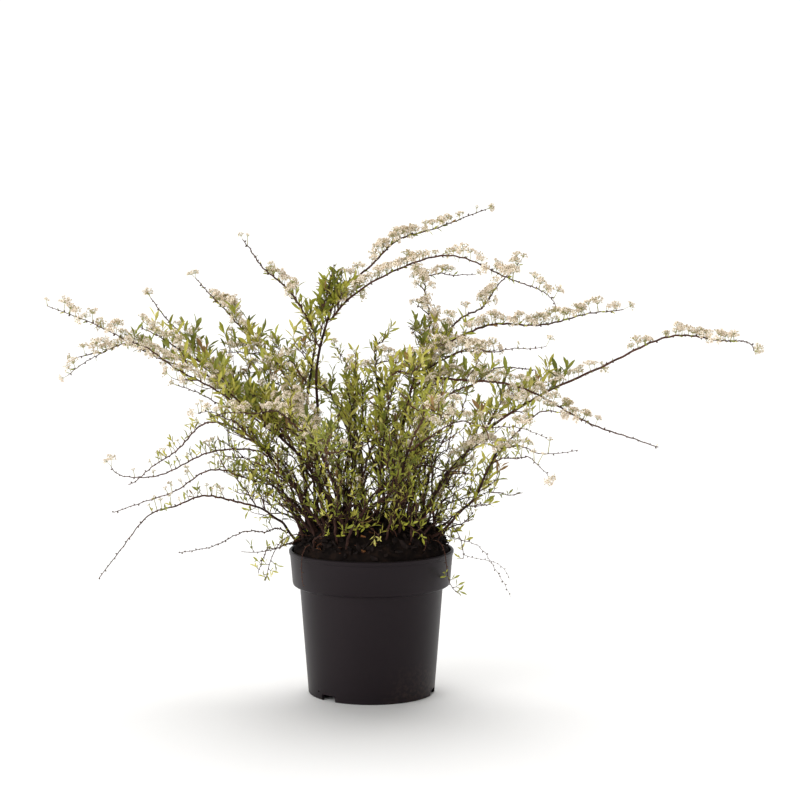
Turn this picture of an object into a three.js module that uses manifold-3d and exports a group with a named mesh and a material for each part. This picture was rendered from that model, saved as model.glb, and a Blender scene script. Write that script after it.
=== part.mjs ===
import * as THREE from 'three';
import { mergeVertices } from 'three/addons/utils/BufferGeometryUtils.js';
import Module from 'manifold-3d';

// Spirea shrub with arching flower wands, in a black nursery pot.
// Millimetres, +Z up. The origin is the centre of the pot's flat underside,
// +X is to the right and +Y is away from the viewer. A heading is the angle
// from +X towards +Y and an elevation is the angle above the horizontal,
// both in degrees.

const wasm = await Module();
wasm.setup();

const DEGREE = Math.PI / 180;
const UP = new THREE.Vector3(0, 0, 1);
const GAP = 0.35;

// ---- Pot: a flat pad and a notched ring underneath, a stepped collar on top ----
const POT_SIDES = 32;
const POT_HEIGHT = 167;
const WALL = 2;
const RIM_RADIUS = 95;
const LIP_HEIGHT = 5;
const COLLAR_TOP_RADIUS = 93.8;
const COLLAR_FOOT_RADIUS = 91;
const COLLAR_FOOT = 129;
const BODY_TOP_RADIUS = 82.6;
const BODY_TOP = 124.5;
const FOOT_RADIUS = 73;
const FOOT_RING = 3;
const PAD_RADIUS = 40;
const FLOOR_LEVEL = 8;
const FLOOR_THICKNESS = 2.5;
const NOTCH_WIDTH = 20;
const NOTCH_HEIGHT = 7;
const NOTCH_DEPTH = 12;
const NOTCH_HEADINGS = [105, 228, 346];

// ---- Soil: a root ball that fills the pot and mounds over its rim ----
const SOIL_EDGE = 164;
const SOIL_CROWN = 203;
const SOIL_DOME_POWER = 5;
const SOIL_LUMP = 2.5;
const SOIL_INSET = 0.55;
const SOIL_RINGS = [0.9, 0.7, 0.48, 0.25];
const ROOT_DEPTH = 12;

// ---- Limbs ----
const PATH_STEPS = 24;
const BOW = [0.36, 0.36];
const SWAY = 0.026;
const STEM_SIDES = 6;
const STEM_STEP = 22;
const TWIG_SIDES = 3;
const TWIG_STEP = 30;
const TWIG_RADII = [1.8, 1.2];
const SEAT_PASSES = 4;
const SEAT_SEARCH = 10;
const STUB_SHARE = 0.1;

// Stems: foot [heading, distance from the axis], top [heading, reach, height],
// rise and run are the directions [heading, elevation] at the foot and the top,
// thick is the radius at the foot and at the top.
const STEMS = {
  long_left: { foot: [220, 40], top: [183, 118, 312], rise: [180, 70], run: [180, 46], thick: [2.8, 1.8] },
  left_upright: { foot: [166, 77], top: [166, 66, 404], rise: [180, 88], run: [350, 80], thick: [2.4, 1.6] },
  tall_upright: { foot: [177, 52], top: [181, 48, 436], rise: [180, 80], run: [0, 72], thick: [2.6, 1.7] },
  mid_trunk: { foot: [150, 40], top: [112, 50, 318], rise: [60, 82], run: [80, 70], thick: [2.8, 1.9] },
  right_thick: { foot: [350, 28], top: [60, 12, 366], rise: [90, 84], run: [165, 80], thick: [3.4, 2.1] },
  right_upright: { foot: [30, 44], top: [34, 80, 392], rise: [10, 75], run: [60, 86], thick: [2.6, 1.6] },
  right_leaning: { foot: [320, 46], top: [352, 72, 396], rise: [40, 80], run: [10, 42], thick: [2.6, 1.6] },
  long_right: { foot: [350, 46], top: [358, 146, 315], rise: [0, 55], run: [0, 35], thick: [2.8, 1.8] },
  low_right: { foot: [334, 68], top: [330, 162, 288], rise: [330, 22], run: [330, 62], thick: [2.1, 1.5] },
  low_left: { foot: [188, 80], top: [200, 142, 224], rise: [200, 44], run: [200, 16], thick: [2, 1.5] },
  left_mid: { foot: [212, 72], top: [192, 128, 288], rise: [190, 72], run: [185, 45], thick: [2.4, 1.7] },
  front_left: { foot: [244, 64], top: [245, 128, 292], rise: [245, 75], run: [245, 48], thick: [2.4, 1.7] },
  front_right: { foot: [294, 60], top: [292, 120, 302], rise: [292, 76], run: [292, 50], thick: [2.4, 1.7] },
  back_right: { foot: [54, 60], top: [60, 128, 292], rise: [60, 75], run: [60, 48], thick: [2.4, 1.7] },
  back: { foot: [95, 60], top: [100, 120, 300], rise: [100, 76], run: [100, 50], thick: [2.6, 1.7] },
  back_left: { foot: [135, 64], top: [138, 136, 284], rise: [138, 74], run: [138, 46], thick: [2.4, 1.7] },
};

// Sprays, under the stem that carries them: at is the share of the stem's
// length where the spray sits (1 is the stem's tip), tip is [heading, reach,
// height], rise and run are the elevations at the seat and the tip, and bow
// says how far the curve keeps to each of them. Leafy shoots grow from the seat to the
// share leafy of the length, and flower heads over the shares in bloom.
const SPRAYS = {
  long_left: {
    far_left: {
      at: 1, tip: [183, 370, 449], run: 20, bow: [0.1, 0.49], leafy: 0.5, bloom: [0.3, 0.72],
    },
    upper_left: { at: 0.95, tip: [163, 288, 418], rise: 42, run: 20, leafy: 0.7, bloom: [0.4, 0.85] },
    drooping_left: {
      at: 0.9, tip: [197, 355, 370], rise: 36, run: -40, bow: [0.6, 0.4], leafy: 0.3, bloom: [0.2, 0.92],
    },
    feather_left: { at: 0.86, tip: [157, 296, 462], rise: 44, run: 48, leafy: 0.8, bloom: [0.9, 1] },
  },
  left_upright: {
    high_left: { at: 1, tip: [215, 176, 532], run: 41, bow: [0.13, 0.1], leafy: 0.4, bloom: [0.5, 0.7] },
    zigzag_left: {
      at: 0.64, tip: [146, 263, 478], rise: 56, run: 38, bow: [0.33, 0.38], leafy: 0.9, bloom: [0.55, 0.8],
    },
    inner_left: { at: 0.54, tip: [172, 240, 357], rise: 12, run: 18, leafy: 0.5, bloom: [0.4, 0.9] },
  },
  tall_upright: {
    top_wand: { at: 1, tip: [46, 206, 557], run: 15, bow: [0.25, 0.58], leafy: 0.15, bloom: [0.15, 0.75] },
    top_arch: {
      at: 0.985, tip: [342, 217, 447], rise: 53, run: -84, bow: [0.6, 0.1], leafy: 0.2, bloom: [0.12, 0.96],
    },
    top_plume: { at: 0.9, tip: [205, 46, 498], rise: 80, run: 72, leafy: 1 },
  },
  mid_trunk: {
    mid_back: { at: 1, tip: [104, 205, 392], run: 15, leafy: 1, bloom: [0.4, 0.8] },
    mid_back_left: { at: 0.8, tip: [124, 175, 400], rise: 46, run: 30, leafy: 1, bloom: [0.5, 0.9] },
  },
  right_thick: {
    centre_plume: { at: 1, tip: [80, 28, 412], run: 70, leafy: 1 },
    centre_front: { at: 0.86, tip: [296, 130, 392], rise: 58, run: 30, leafy: 1, bloom: [0.6, 0.9] },
  },
  right_upright: {
    flower_mast: { at: 1, tip: [62, 110, 487], run: 24, bow: [0.6, 0.5], leafy: 0.3, bloom: [0.3, 0.95] },
    high_right: { at: 0.95, tip: [43, 252, 498], rise: 48, run: 40, leafy: 0.5, bloom: [0.45, 0.75] },
  },
  right_leaning: {
    straight_right: {
      at: 1, tip: [12, 310, 441], run: 10, bow: [0.2, 0.2], leafy: 0.3, bloom: [0.08, 0.92],
    },
    bare_right: {
      at: 0.85, tip: [343, 215, 408], rise: 34, run: 15, bow: [0.6, 0.37], leafy: 0.4, bloom: [0.1, 0.5],
    },
    sloping_right: {
      at: 0.77, tip: [343, 336, 296], rise: 49, run: -11, bow: [0.23, 0.16], leafy: 0.4, bloom: [0.2, 0.7],
    },
  },
  long_right: {
    far_right: { at: 1, tip: [0, 439, 386], run: -84, bow: [0.6, 0.1], leafy: 0.45, bloom: [0.35, 1] },
    leafy_right: { at: 0.9, tip: [14, 214, 372], rise: 50, run: 50, leafy: 1 },
  },
  low_right: {
    low_cluster: { at: 1, tip: [332, 261, 297], run: 16, bow: [0.24, 0.58], leafy: 0.4, bloom: [0.1, 0.8] },
    low_hook: { at: 0.92, tip: [320, 258, 266], rise: 25, run: -40, leafy: 0.5, bloom: [0.2, 0.7] },
    low_bow: {
      at: 0.96, tip: [346, 259, 313], rise: 53, run: -40, bow: [0.6, 0.46], leafy: 0.5, bloom: [0.3, 0.9],
    },
    trailing_right: { at: 0.16, tip: [322, 198, 130], rise: 10, run: -60, leafy: 1 },
  },
  low_left: {
    low_arch: { at: 1, tip: [200, 321, 150], run: -51, bow: [0.49, 0.6], leafy: 0.6, bloom: [0.1, 0.5] },
    low_reach: { at: 0.3, tip: [218, 265, 189], rise: 35, run: 2, bow: [0.23, 0.57], leafy: 0.9 },
    trailing_left: { at: 0.12, tip: [229, 186, 160], rise: -5, run: -60, leafy: 1 },
  },
  left_mid: {
    inner_wave: { at: 1, tip: [207, 222, 333], run: -5, leafy: 0.6, bloom: [0.3, 0.9] },
    left_wave: {
      at: 0.95, tip: [161, 311, 227], rise: 39, run: -12, bow: [0.57, 0.22], leafy: 0.6, bloom: [0.3, 0.7],
    },
    left_flat: {
      at: 0.9, tip: [190, 301, 278], rise: 45, run: 66, bow: [0.3, 0.28], leafy: 0.5, bloom: [0.2, 0.5],
    },
    left_low: {
      at: 0.72, tip: [176, 303, 205], rise: 9, run: -19, bow: [0.4, 0.58], leafy: 0.5, bloom: [0.3, 0.6],
    },
  },
  front_left: {
    front_left_arch: { at: 1, tip: [236, 296, 345], run: -10, leafy: 0.6, bloom: [0.4, 0.9] },
    front_arch: { at: 0.92, tip: [262, 300, 300], rise: 42, run: -20, leafy: 0.6, bloom: [0.4, 0.9] },
  },
  front_right: {
    front_bow: { at: 1, tip: [285, 305, 345], run: -12, leafy: 0.6, bloom: [0.4, 0.9] },
    front_right_arch: { at: 0.92, tip: [311, 290, 320], rise: 42, run: -15, leafy: 0.6, bloom: [0.4, 0.9] },
  },
  back_right: {
    back_right_arch: { at: 1, tip: [52, 335, 350], run: -10, leafy: 0.6, bloom: [0.4, 0.9] },
    back_right_bow: { at: 0.92, tip: [76, 325, 300], rise: 42, run: -20, leafy: 0.6, bloom: [0.4, 0.9] },
  },
  back: {
    back_arch: { at: 1, tip: [96, 330, 345], run: -12, leafy: 0.6, bloom: [0.4, 0.9] },
    back_bow: { at: 0.92, tip: [118, 318, 350], rise: 48, run: -5, leafy: 0.5, bloom: [0.4, 0.9] },
  },
  back_left: {
    back_left_arch: { at: 1, tip: [140, 345, 372], run: 5, leafy: 0.6, bloom: [0.4, 0.9] },
    back_left_bow: { at: 0.92, tip: [128, 300, 285], rise: 40, run: -25, leafy: 0.6, bloom: [0.4, 0.9] },
  },
};

// ---- Foliage: shoots tipped with a leaf, side leaves and domed flower heads ----
// An outline is [share of the length, half width, half thickness], root first.
const TURN = 137.5;
const FIRST_SHOOT = 16;
const SHOOT_SPACING = 50;
const SHOOT = { length: 68, sides: 3, outline: [[0, 1.5, 1.5], [0.52, 1.1, 1.1], [0.74, 6, 1]] };
const LEAF = { length: 35, sides: 3, outline: [[0, 0.5, 0.5], [0.45, 6, 1]] };
const LEAF_SEATS = [{ share: 0.36, turn: 70 }, { share: 0.5, turn: -110 }];
const BLOOM_SPACING = 30;
const BLOOM_SWING = 55;
const UMBEL = { length: 14, sides: 4, outline: [[0, 0.5, 0.5], [0.7, 10, 10]] };
const CLEARANCE = 0.4;
const OWN_SHARE = 0.45;

const FINISHES = {
  pot: { color: 0x2a2729, roughness: 0.5 },
  soil: { color: 0x2b201a, roughness: 1 },
  stem: { color: 0x4a2f28, roughness: 0.8 },
  spray: { color: 0x8a9a52, roughness: 0.7 },
};

const shrub = new THREE.Group();
const taken = [];

/** Adds a closed geometry to the shrub as a named part. */
function addPart(name, geometry, finish) {
  const material = new THREE.MeshStandardMaterial({ metalness: 0, ...FINISHES[finish] });
  const mesh = new THREE.Mesh(geometry, material);
  geometry.computeVertexNormals();
  mesh.name = name;
  shrub.add(mesh);
}

/** A solid from a closed geometry, its shared vertices joined by position alone. */
function toSolid(geometry) {
  geometry.deleteAttribute('normal');
  geometry.deleteAttribute('uv');
  const closed = mergeVertices(geometry, 1e-4);
  const vertProperties = new Float32Array(closed.attributes.position.array);
  const triVerts = new Uint32Array(closed.index.array);
  return new wasm.Manifold(new wasm.Mesh({ numProp: 3, vertProperties, triVerts }));
}

function toGeometry(solid) {
  const mesh = solid.getMesh();
  const geometry = new THREE.BufferGeometry();
  geometry.setAttribute('position', new THREE.BufferAttribute(mesh.vertProperties, 3));
  geometry.setIndex(new THREE.BufferAttribute(mesh.triVerts, 1));
  return geometry;
}

/** A repeatable number from 0 to 1, for a limb's key and a count on it. */
function draw(key, count) {
  const value = Math.sin(key * 12.9898 + count * 78.233) * 43758.5453;
  return value - Math.floor(value);
}

function polar(heading, reach, height) {
  const angle = heading * DEGREE;
  return new THREE.Vector3(reach * Math.cos(angle), reach * Math.sin(angle), height);
}

/** The unit vector at a heading and an elevation. */
function aim(heading, elevation) {
  return polar(heading, Math.cos(elevation * DEGREE), Math.sin(elevation * DEGREE));
}

function headingOf(from, to) {
  return Math.atan2(to.y - from.y, to.x - from.x) / DEGREE;
}

function mix(ends, share) {
  return ends[0] + (ends[1] - ends[0]) * share;
}

// ---- Paths of limbs ----

/** A limb's path: it leaves start along rise, sways a little, and reaches end along run. */
function growPath(start, rise, end, run, key, bow = BOW) {
  const span = start.distanceTo(end);
  const leave = start.clone().addScaledVector(rise, span * bow[0]);
  const arrive = end.clone().addScaledVector(run, -span * bow[1]);
  const points = new THREE.CubicBezierCurve3(start, leave, arrive, end).getPoints(PATH_STEPS);
  const side = aim(headingOf(start, end) + 90, 0);
  points.forEach((point, index) => {
    const share = index / PATH_STEPS;
    const sway = span * SWAY * Math.sin(Math.PI * share) ** 2;
    point.addScaledVector(side, sway * Math.sin(8 * share + 6.28 * draw(key, 1)));
    point.addScaledVector(UP, sway * Math.sin(11 * share + 6.28 * draw(key, 2)));
  });
  const lengths = [0];
  for (let index = 1; index <= PATH_STEPS; index += 1) {
    lengths.push(lengths[index - 1] + points[index].distanceTo(points[index - 1]));
  }
  return { points, lengths, side, length: lengths[PATH_STEPS] };
}

/** Place, direction and cross directions at a share of a path's length. */
function placeOn(path, share) {
  const distance = share * path.length;
  let step = 1;
  while (step < PATH_STEPS && path.lengths[step] < distance) step += 1;
  const [from, to] = [path.points[step - 1], path.points[step]];
  const part = (distance - path.lengths[step - 1]) / (path.lengths[step] - path.lengths[step - 1]);
  const before = path.points[Math.max(step - 2, 0)];
  const after = path.points[Math.min(step + 1, PATH_STEPS)];
  const ahead = to.clone().sub(from).multiplyScalar(2).add(after).sub(before).normalize();
  const lift = ahead.clone().cross(path.side).normalize();
  const cross = ahead.clone().cross(lift).normalize();
  return { point: from.clone().lerp(to, part), ahead, lift, cross };
}

/** A tapering limb: a cylinder laid along a path, from one share of it to another. */
function limbGeometry(path, radii, sides, steps, reach = [0, 1]) {
  const geometry = new THREE.CylinderGeometry(1, 1, 1, sides, steps);
  const position = geometry.attributes.position;
  for (let index = 0; index < position.count; index += 1) {
    const share = position.getY(index) + 0.5;
    const radius = mix(radii, share);
    const place = placeOn(path, mix(reach, share));
    place.point.addScaledVector(place.lift, position.getX(index) * radius);
    place.point.addScaledVector(place.cross, -position.getZ(index) * radius);
    position.setXYZ(index, place.point.x, place.point.y, place.point.z);
  }
  return geometry;
}

// ---- Room between the parts ----

/** Marks the space round a straight piece as held by its owner. */
function hold(owner, from, to, radius, isBlade = false) {
  taken.push({ owner, from, to, radius, isBlade });
}

function holdPath(owner, path, radii) {
  for (let step = 0; step < PATH_STEPS; step += 1) {
    hold(owner, path.points[step], path.points[step + 1], mix(radii, step / PATH_STEPS));
  }
}

/** Shortest distance between two straight pieces. */
function spanBetween(a0, a1, b0, b1) {
  const u = a1.clone().sub(a0);
  const v = b1.clone().sub(b0);
  const w = a0.clone().sub(b0);
  const [uu, uv, vv, uw, vw] = [u.dot(u), u.dot(v), v.dot(v), u.dot(w), v.dot(w)];
  const area = uu * vv - uv * uv;
  const clamp = (value) => Math.min(Math.max(value, 0), 1);
  let s = area > 1e-9 ? clamp((uv * vw - vv * uw) / area) : 0;
  let t = (uv * s + vw) / vv;
  if (t < 0 || t > 1) {
    t = clamp(t);
    s = clamp((uv * t - uw) / uu);
  }
  return a0.clone().addScaledVector(u, s).distanceTo(b0.clone().addScaledVector(v, t));
}

function isClearOfPot(point, room) {
  const isOutside = Math.hypot(point.x, point.y) > RIM_RADIUS + room;
  const ground = Math.max(soilHeight(point.x, point.y) + SOIL_LUMP, POT_HEIGHT);
  return isOutside || point.z > ground + room;
}

/** True where neither the pot, the soil nor anything that holds a space is in the way. */
function isFree(owner, from, to, radius) {
  const isBlocked = (other) => {
    const isOwn = other.owner === owner;
    if (isOwn && !other.isBlade) return false;
    const room = isOwn ? OWN_SHARE * (radius + other.radius) : radius + other.radius + CLEARANCE;
    return spanBetween(from, to, other.from, other.to) < room;
  };
  return isClearOfPot(from, radius) && isClearOfPot(to, radius) && !taken.some(isBlocked);
}

// ---- Pot and soil ----

/** A solid of revolution about Z from [radius, height] pairs that start and end on the axis. */
function turned(profile) {
  const points = profile.map(([radius, height]) => new THREE.Vector2(radius, height));
  const geometry = new THREE.LatheGeometry(points, POT_SIDES);
  geometry.rotateX(90 * DEGREE);
  return geometry;
}

/** The pot with the drain notches cut up into its foot ring. */
function buildPot() {
  const floorTop = FLOOR_LEVEL + FLOOR_THICKNESS;
  let pot = toSolid(turned([
    [0, 0],
    [PAD_RADIUS, 0],
    [PAD_RADIUS + WALL, FLOOR_LEVEL],
    [FOOT_RADIUS - FOOT_RING, FLOOR_LEVEL],
    [FOOT_RADIUS - FOOT_RING, 0],
    [FOOT_RADIUS, 0],
    [BODY_TOP_RADIUS, BODY_TOP],
    [COLLAR_FOOT_RADIUS, COLLAR_FOOT],
    [COLLAR_TOP_RADIUS, POT_HEIGHT - LIP_HEIGHT],
    [RIM_RADIUS, POT_HEIGHT - LIP_HEIGHT + 1],
    [RIM_RADIUS, POT_HEIGHT],
    [COLLAR_TOP_RADIUS - WALL, POT_HEIGHT],
    [COLLAR_FOOT_RADIUS - WALL, COLLAR_FOOT + 1],
    [BODY_TOP_RADIUS - WALL, BODY_TOP + 1],
    [FOOT_RADIUS - WALL, floorTop],
    [0, floorTop],
  ]));
  for (const heading of NOTCH_HEADINGS) {
    const notch = new THREE.BoxGeometry(NOTCH_DEPTH, NOTCH_WIDTH, 2 * NOTCH_HEIGHT);
    notch.translate(FOOT_RADIUS, 0, 0);
    notch.rotateZ(heading * DEGREE);
    pot = pot.subtract(toSolid(notch));
  }
  addPart('pot', toGeometry(pot), 'pot');
}

function soilHeight(x, y) {
  const share = Math.min(Math.hypot(x, y) / (COLLAR_TOP_RADIUS - WALL), 1);
  const dome = (SOIL_CROWN - SOIL_EDGE) * (1 - share ** SOIL_DOME_POWER);
  const lumps = Math.sin(x * 0.13 + 1) * Math.cos(y * 0.11) + Math.sin(x * 0.07 - y * 0.16);
  return SOIL_EDGE + dome + SOIL_LUMP * lumps * (1 - share ** 2);
}

/** The root ball: its side keeps clear of the pot's inner wall, its top is a lumpy mound. */
function soilGeometry() {
  const inner = (radius) => radius - WALL - SOIL_INSET;
  const edge = inner(COLLAR_TOP_RADIUS) - GAP;
  const floor = FLOOR_LEVEL + FLOOR_THICKNESS + GAP;
  const geometry = turned([
    [0, floor],
    [inner(FOOT_RADIUS) - GAP, floor],
    [inner(BODY_TOP_RADIUS), BODY_TOP + 1],
    [inner(COLLAR_FOOT_RADIUS), COLLAR_FOOT + 2],
    [edge, SOIL_EDGE],
    ...SOIL_RINGS.map((share) => [edge * share, 2 * POT_HEIGHT]),
    [0, 2 * POT_HEIGHT],
  ]);
  const position = geometry.attributes.position;
  for (let index = 0; index < position.count; index += 1) {
    if (position.getZ(index) > POT_HEIGHT) {
      position.setZ(index, soilHeight(position.getX(index), position.getY(index)));
    }
  }
  return geometry;
}

// ---- Stems ----

function stemPath(stem, key) {
  const foot = polar(...stem.foot, 0);
  foot.z = soilHeight(foot.x, foot.y) - ROOT_DEPTH;
  return growPath(foot, aim(...stem.rise), polar(...stem.top), aim(...stem.run), key);
}

/** Grows the bare stems out of sockets cut in the soil, each a gap clear of its stem. */
function buildStems() {
  let soil = toSolid(soilGeometry());
  Object.entries(STEMS).forEach(([name, stem], key) => {
    stem.path = stemPath(stem, key);
    const steps = Math.round(stem.path.length / STEM_STEP);
    const socketRadii = stem.thick.map((radius) => radius + GAP);
    const overSocketFloor = [GAP / stem.path.length, 1];
    holdPath(name, stem.path, stem.thick);
    soil = soil.subtract(toSolid(limbGeometry(stem.path, socketRadii, STEM_SIDES, steps)));
    stem.solid = toSolid(limbGeometry(stem.path, stem.thick, STEM_SIDES, steps, overSocketFloor));
    addPart(`stem_${name}`, toGeometry(stem.solid), 'stem');
  });
  addPart('soil', toGeometry(soil), 'soil');
}

// ---- Sprays ----

/** A spray's path, from a seat slid up to its stem's end or bark until a gap is left. */
function sprayPath(stem, spray, key) {
  const { point, ahead } = placeOn(stem.path, spray.at);
  const tip = polar(...spray.tip);
  const heading = headingOf(point, tip);
  const isOnEnd = spray.at === 1;
  const rise = isOnEnd ? ahead : aim(heading, spray.rise);
  const across = rise.clone().addScaledVector(ahead, -rise.dot(ahead)).normalize();
  const outward = isOnEnd ? ahead : across;
  const fromSeat = () => growPath(point, rise, tip, aim(heading, spray.run), key, spray.bow);
  point.addScaledVector(outward, stem.thick[0] + TWIG_RADII[0]);
  for (let pass = 0; pass < SEAT_PASSES; pass += 1) {
    const stub = toSolid(limbGeometry(fromSeat(), TWIG_RADII, TWIG_SIDES, 1, [0, STUB_SHARE]));
    point.addScaledVector(outward, GAP - stem.solid.minGap(stub, SEAT_SEARCH));
  }
  return fromSeat();
}

/** A shoot, leaf or flower head: rings along a straight line, closed to a point at its tip. */
function bladeGeometry(shape, root, ahead) {
  const rings = shape.outline.length;
  const geometry = new THREE.CylinderGeometry(0, 1, 1, shape.sides, rings);
  const face = Math.abs(ahead.z) > 0.95 ? new THREE.Vector3(1, 0, 0) : UP;
  const across = face.clone().cross(ahead).normalize();
  const keel = across.clone().cross(ahead);
  const position = geometry.attributes.position;
  for (let index = 0; index < position.count; index += 1) {
    const ring = Math.round((position.getY(index) + 0.5) * rings);
    const [share, halfWidth, halfThickness] = shape.outline[ring] ?? [1, 0, 0];
    const spread = rings / (rings - ring || 1);
    const vertex = root.clone().addScaledVector(ahead, share * shape.length);
    vertex.addScaledVector(across, position.getX(index) * spread * halfWidth);
    vertex.addScaledVector(keel, position.getZ(index) * spread * halfThickness);
    position.setXYZ(index, vertex.x, vertex.y, vertex.z);
  }
  return geometry;
}

/** Adds a piece to a spray where there is room for its broad part, and says if it did. */
function addBlade(spray, shape, root, ahead) {
  const [narrow, broad] = shape.outline.slice(-2);
  const from = root.clone().addScaledVector(ahead, shape.length * (narrow[0] + broad[0]) / 2);
  const to = root.clone().addScaledVector(ahead, shape.length * (broad[0] + 1) / 2);
  if (!isFree(spray.name, from, to, broad[1])) return false;
  hold(spray.name, from, to, broad[1], true);
  spray.pieces.push(bladeGeometry(shape, root, ahead));
  return true;
}

/** The direction of a side piece: turned round the limb, leaning ahead and up. */
function sideways(place, turn, lean, lift) {
  const around = place.lift.clone().multiplyScalar(Math.cos(turn * DEGREE));
  around.addScaledVector(place.cross, Math.sin(turn * DEGREE));
  return around.addScaledVector(place.ahead, lean).addScaledVector(UP, lift).normalize();
}

/** A shoot that ends in a leaf, with side leaves where there is room. */
function addShoot(spray, place, turn, scale) {
  const ahead = sideways(place, turn, 0.8, 0.5);
  const shape = { ...SHOOT, length: SHOOT.length * scale };
  const [base, stalk] = shape.outline;
  const stalkStart = place.point.clone().addScaledVector(ahead, 2 * base[1]);
  const stalkEnd = place.point.clone().addScaledVector(ahead, stalk[0] * shape.length);
  if (!isFree(spray.name, stalkStart, stalkEnd, base[1])) return;
  if (!addBlade(spray, shape, place.point, ahead)) return;
  hold(spray.name, stalkStart, stalkEnd, base[1]);
  const shoot = { ahead, lift: place.lift, cross: place.cross };
  for (const seat of LEAF_SEATS) {
    const root = place.point.clone().addScaledVector(ahead, seat.share * shape.length);
    addBlade(spray, LEAF, root, sideways(shoot, turn + seat.turn, 0.9, 0.2));
  }
}

/** Calls grow at even steps along a path, between two shares of its length. */
function alongPath(path, spacing, shares, grow) {
  for (let distance = FIRST_SHOOT, count = 0; distance < path.length; distance += spacing, count += 1) {
    const share = distance / path.length;
    if (share >= shares[0] && share <= shares[1]) grow(placeOn(path, share), count);
  }
}

/** Grows leafy shoots, then flower heads on the upper side, by the seeded rule. */
function growFoliage(spray) {
  const { path, key, leafy, bloom = [1, 0] } = spray;
  alongPath(path, SHOOT_SPACING, [0, leafy], (place, count) => {
    const turn = 360 * draw(key, 3) + count * TURN;
    addShoot(spray, place, turn, 0.75 + 0.5 * draw(key, 10 + count));
  });
  alongPath(path, BLOOM_SPACING, bloom, (place, count) => {
    const turn = BLOOM_SWING * (2 * draw(key, 40 + count) - 1);
    addBlade(spray, UMBEL, place.point, sideways(place, turn, 0.3, 0.5));
  });
}

/** The largest body of a solid: scraps and the skins of sealed hollows are dropped. */
function mainBody(solid) {
  const bodies = solid.decompose();
  return bodies.reduce((best, body) => (body.volume() > best.volume() ? body : best));
}

/** Plans every spray's path and holds its space before any foliage grows. */
function planSprays() {
  const sprays = [];
  for (const [stemName, group] of Object.entries(SPRAYS)) {
    for (const [name, spray] of Object.entries(group)) {
      const key = 20 + sprays.length;
      const path = sprayPath(STEMS[stemName], spray, key);
      holdPath(name, path, TWIG_RADII);
      sprays.push({ ...spray, name, key, path, pieces: [] });
    }
  }
  return sprays;
}

function buildSprays() {
  const sprays = planSprays();
  sprays.forEach(growFoliage);
  for (const spray of sprays) {
    const steps = Math.max(3, Math.round(spray.path.length / TWIG_STEP));
    const twig = toSolid(limbGeometry(spray.path, TWIG_RADII, TWIG_SIDES, steps));
    const solid = spray.pieces.map(toSolid).reduce((sum, piece) => sum.add(piece), twig);
    addPart(`spray_${spray.name}`, toGeometry(mainBody(solid)), 'spray');
  }
}

buildPot();
buildStems();
buildSprays();

export default shrub;
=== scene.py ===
import math
from collections import namedtuple

import bmesh
import bpy
import numpy as np
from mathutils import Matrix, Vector, noise


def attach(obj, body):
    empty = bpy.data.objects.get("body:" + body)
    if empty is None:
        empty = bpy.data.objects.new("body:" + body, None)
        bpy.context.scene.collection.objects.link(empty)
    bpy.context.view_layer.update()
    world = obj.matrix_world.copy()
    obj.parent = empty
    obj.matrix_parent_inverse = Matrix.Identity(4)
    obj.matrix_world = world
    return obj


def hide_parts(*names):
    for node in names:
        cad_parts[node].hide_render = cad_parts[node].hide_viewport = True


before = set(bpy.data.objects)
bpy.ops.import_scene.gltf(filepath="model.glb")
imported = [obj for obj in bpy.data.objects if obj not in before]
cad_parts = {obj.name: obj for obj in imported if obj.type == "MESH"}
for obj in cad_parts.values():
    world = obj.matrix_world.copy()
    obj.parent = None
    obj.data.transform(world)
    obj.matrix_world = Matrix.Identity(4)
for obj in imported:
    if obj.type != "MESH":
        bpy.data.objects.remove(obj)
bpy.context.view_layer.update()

# Spirea shrub in a black nursery pot. Sizes are in millimetres until a mesh is
# made. A heading is the angle from +X towards +Y and an elevation the angle above
# the horizontal, both in degrees.
MM = 0.001
UP = np.array([0.0, 0.0, 1.0])
rng = np.random.default_rng(4107)

# ---- Sizes of the pot and the soil ----
POT_HEIGHT = 167
WALL = 2
RIM_RADIUS = 95
LIP_HEIGHT = 5
COLLAR_TOP_RADIUS = 93.8
COLLAR_FOOT_RADIUS = 91
COLLAR_FOOT = 129
BODY_TOP_RADIUS = 82.6
BODY_TOP = 124.5
FOOT_RADIUS = 73
FOOT_RING = 3
PAD_RADIUS = 40
FLOOR_LEVEL = 8
FLOOR_THICKNESS = 2.5
NOTCH_WIDTH = 20
NOTCH_HEIGHT = 7
NOTCH_DEPTH = 12
NOTCH_HEADINGS = (105, 228, 346)
SLIT_HEADING = 216
SLIT_HEIGHT = 9
POT_SEGMENTS = 144
SOIL_SEGMENTS = 120
SOIL_EDGE = 164
SOIL_CROWN = 203
SOIL_DOME_POWER = 5
SOIL_LUMP = 2.5
ROOT_DEPTH = 12

# ---- Limbs: the same rule and the same named sizes as the solids ----
GAP = 0.35
TIP_ALLOWANCE = (3, 10)
PATH_STEP = 2.4
BOW = (0.36, 0.36)
SWAY = 0.026
TWIG_RADIUS = 1.8
WAND_RADII = (1.4, 1.0, 0.45)
FINE_WAND_RADII = (1.1, 0.8, 0.4)
NODE_SPACING = 7
ZIGZAG = 0.8
BARK_SHARE = 0.8

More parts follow.
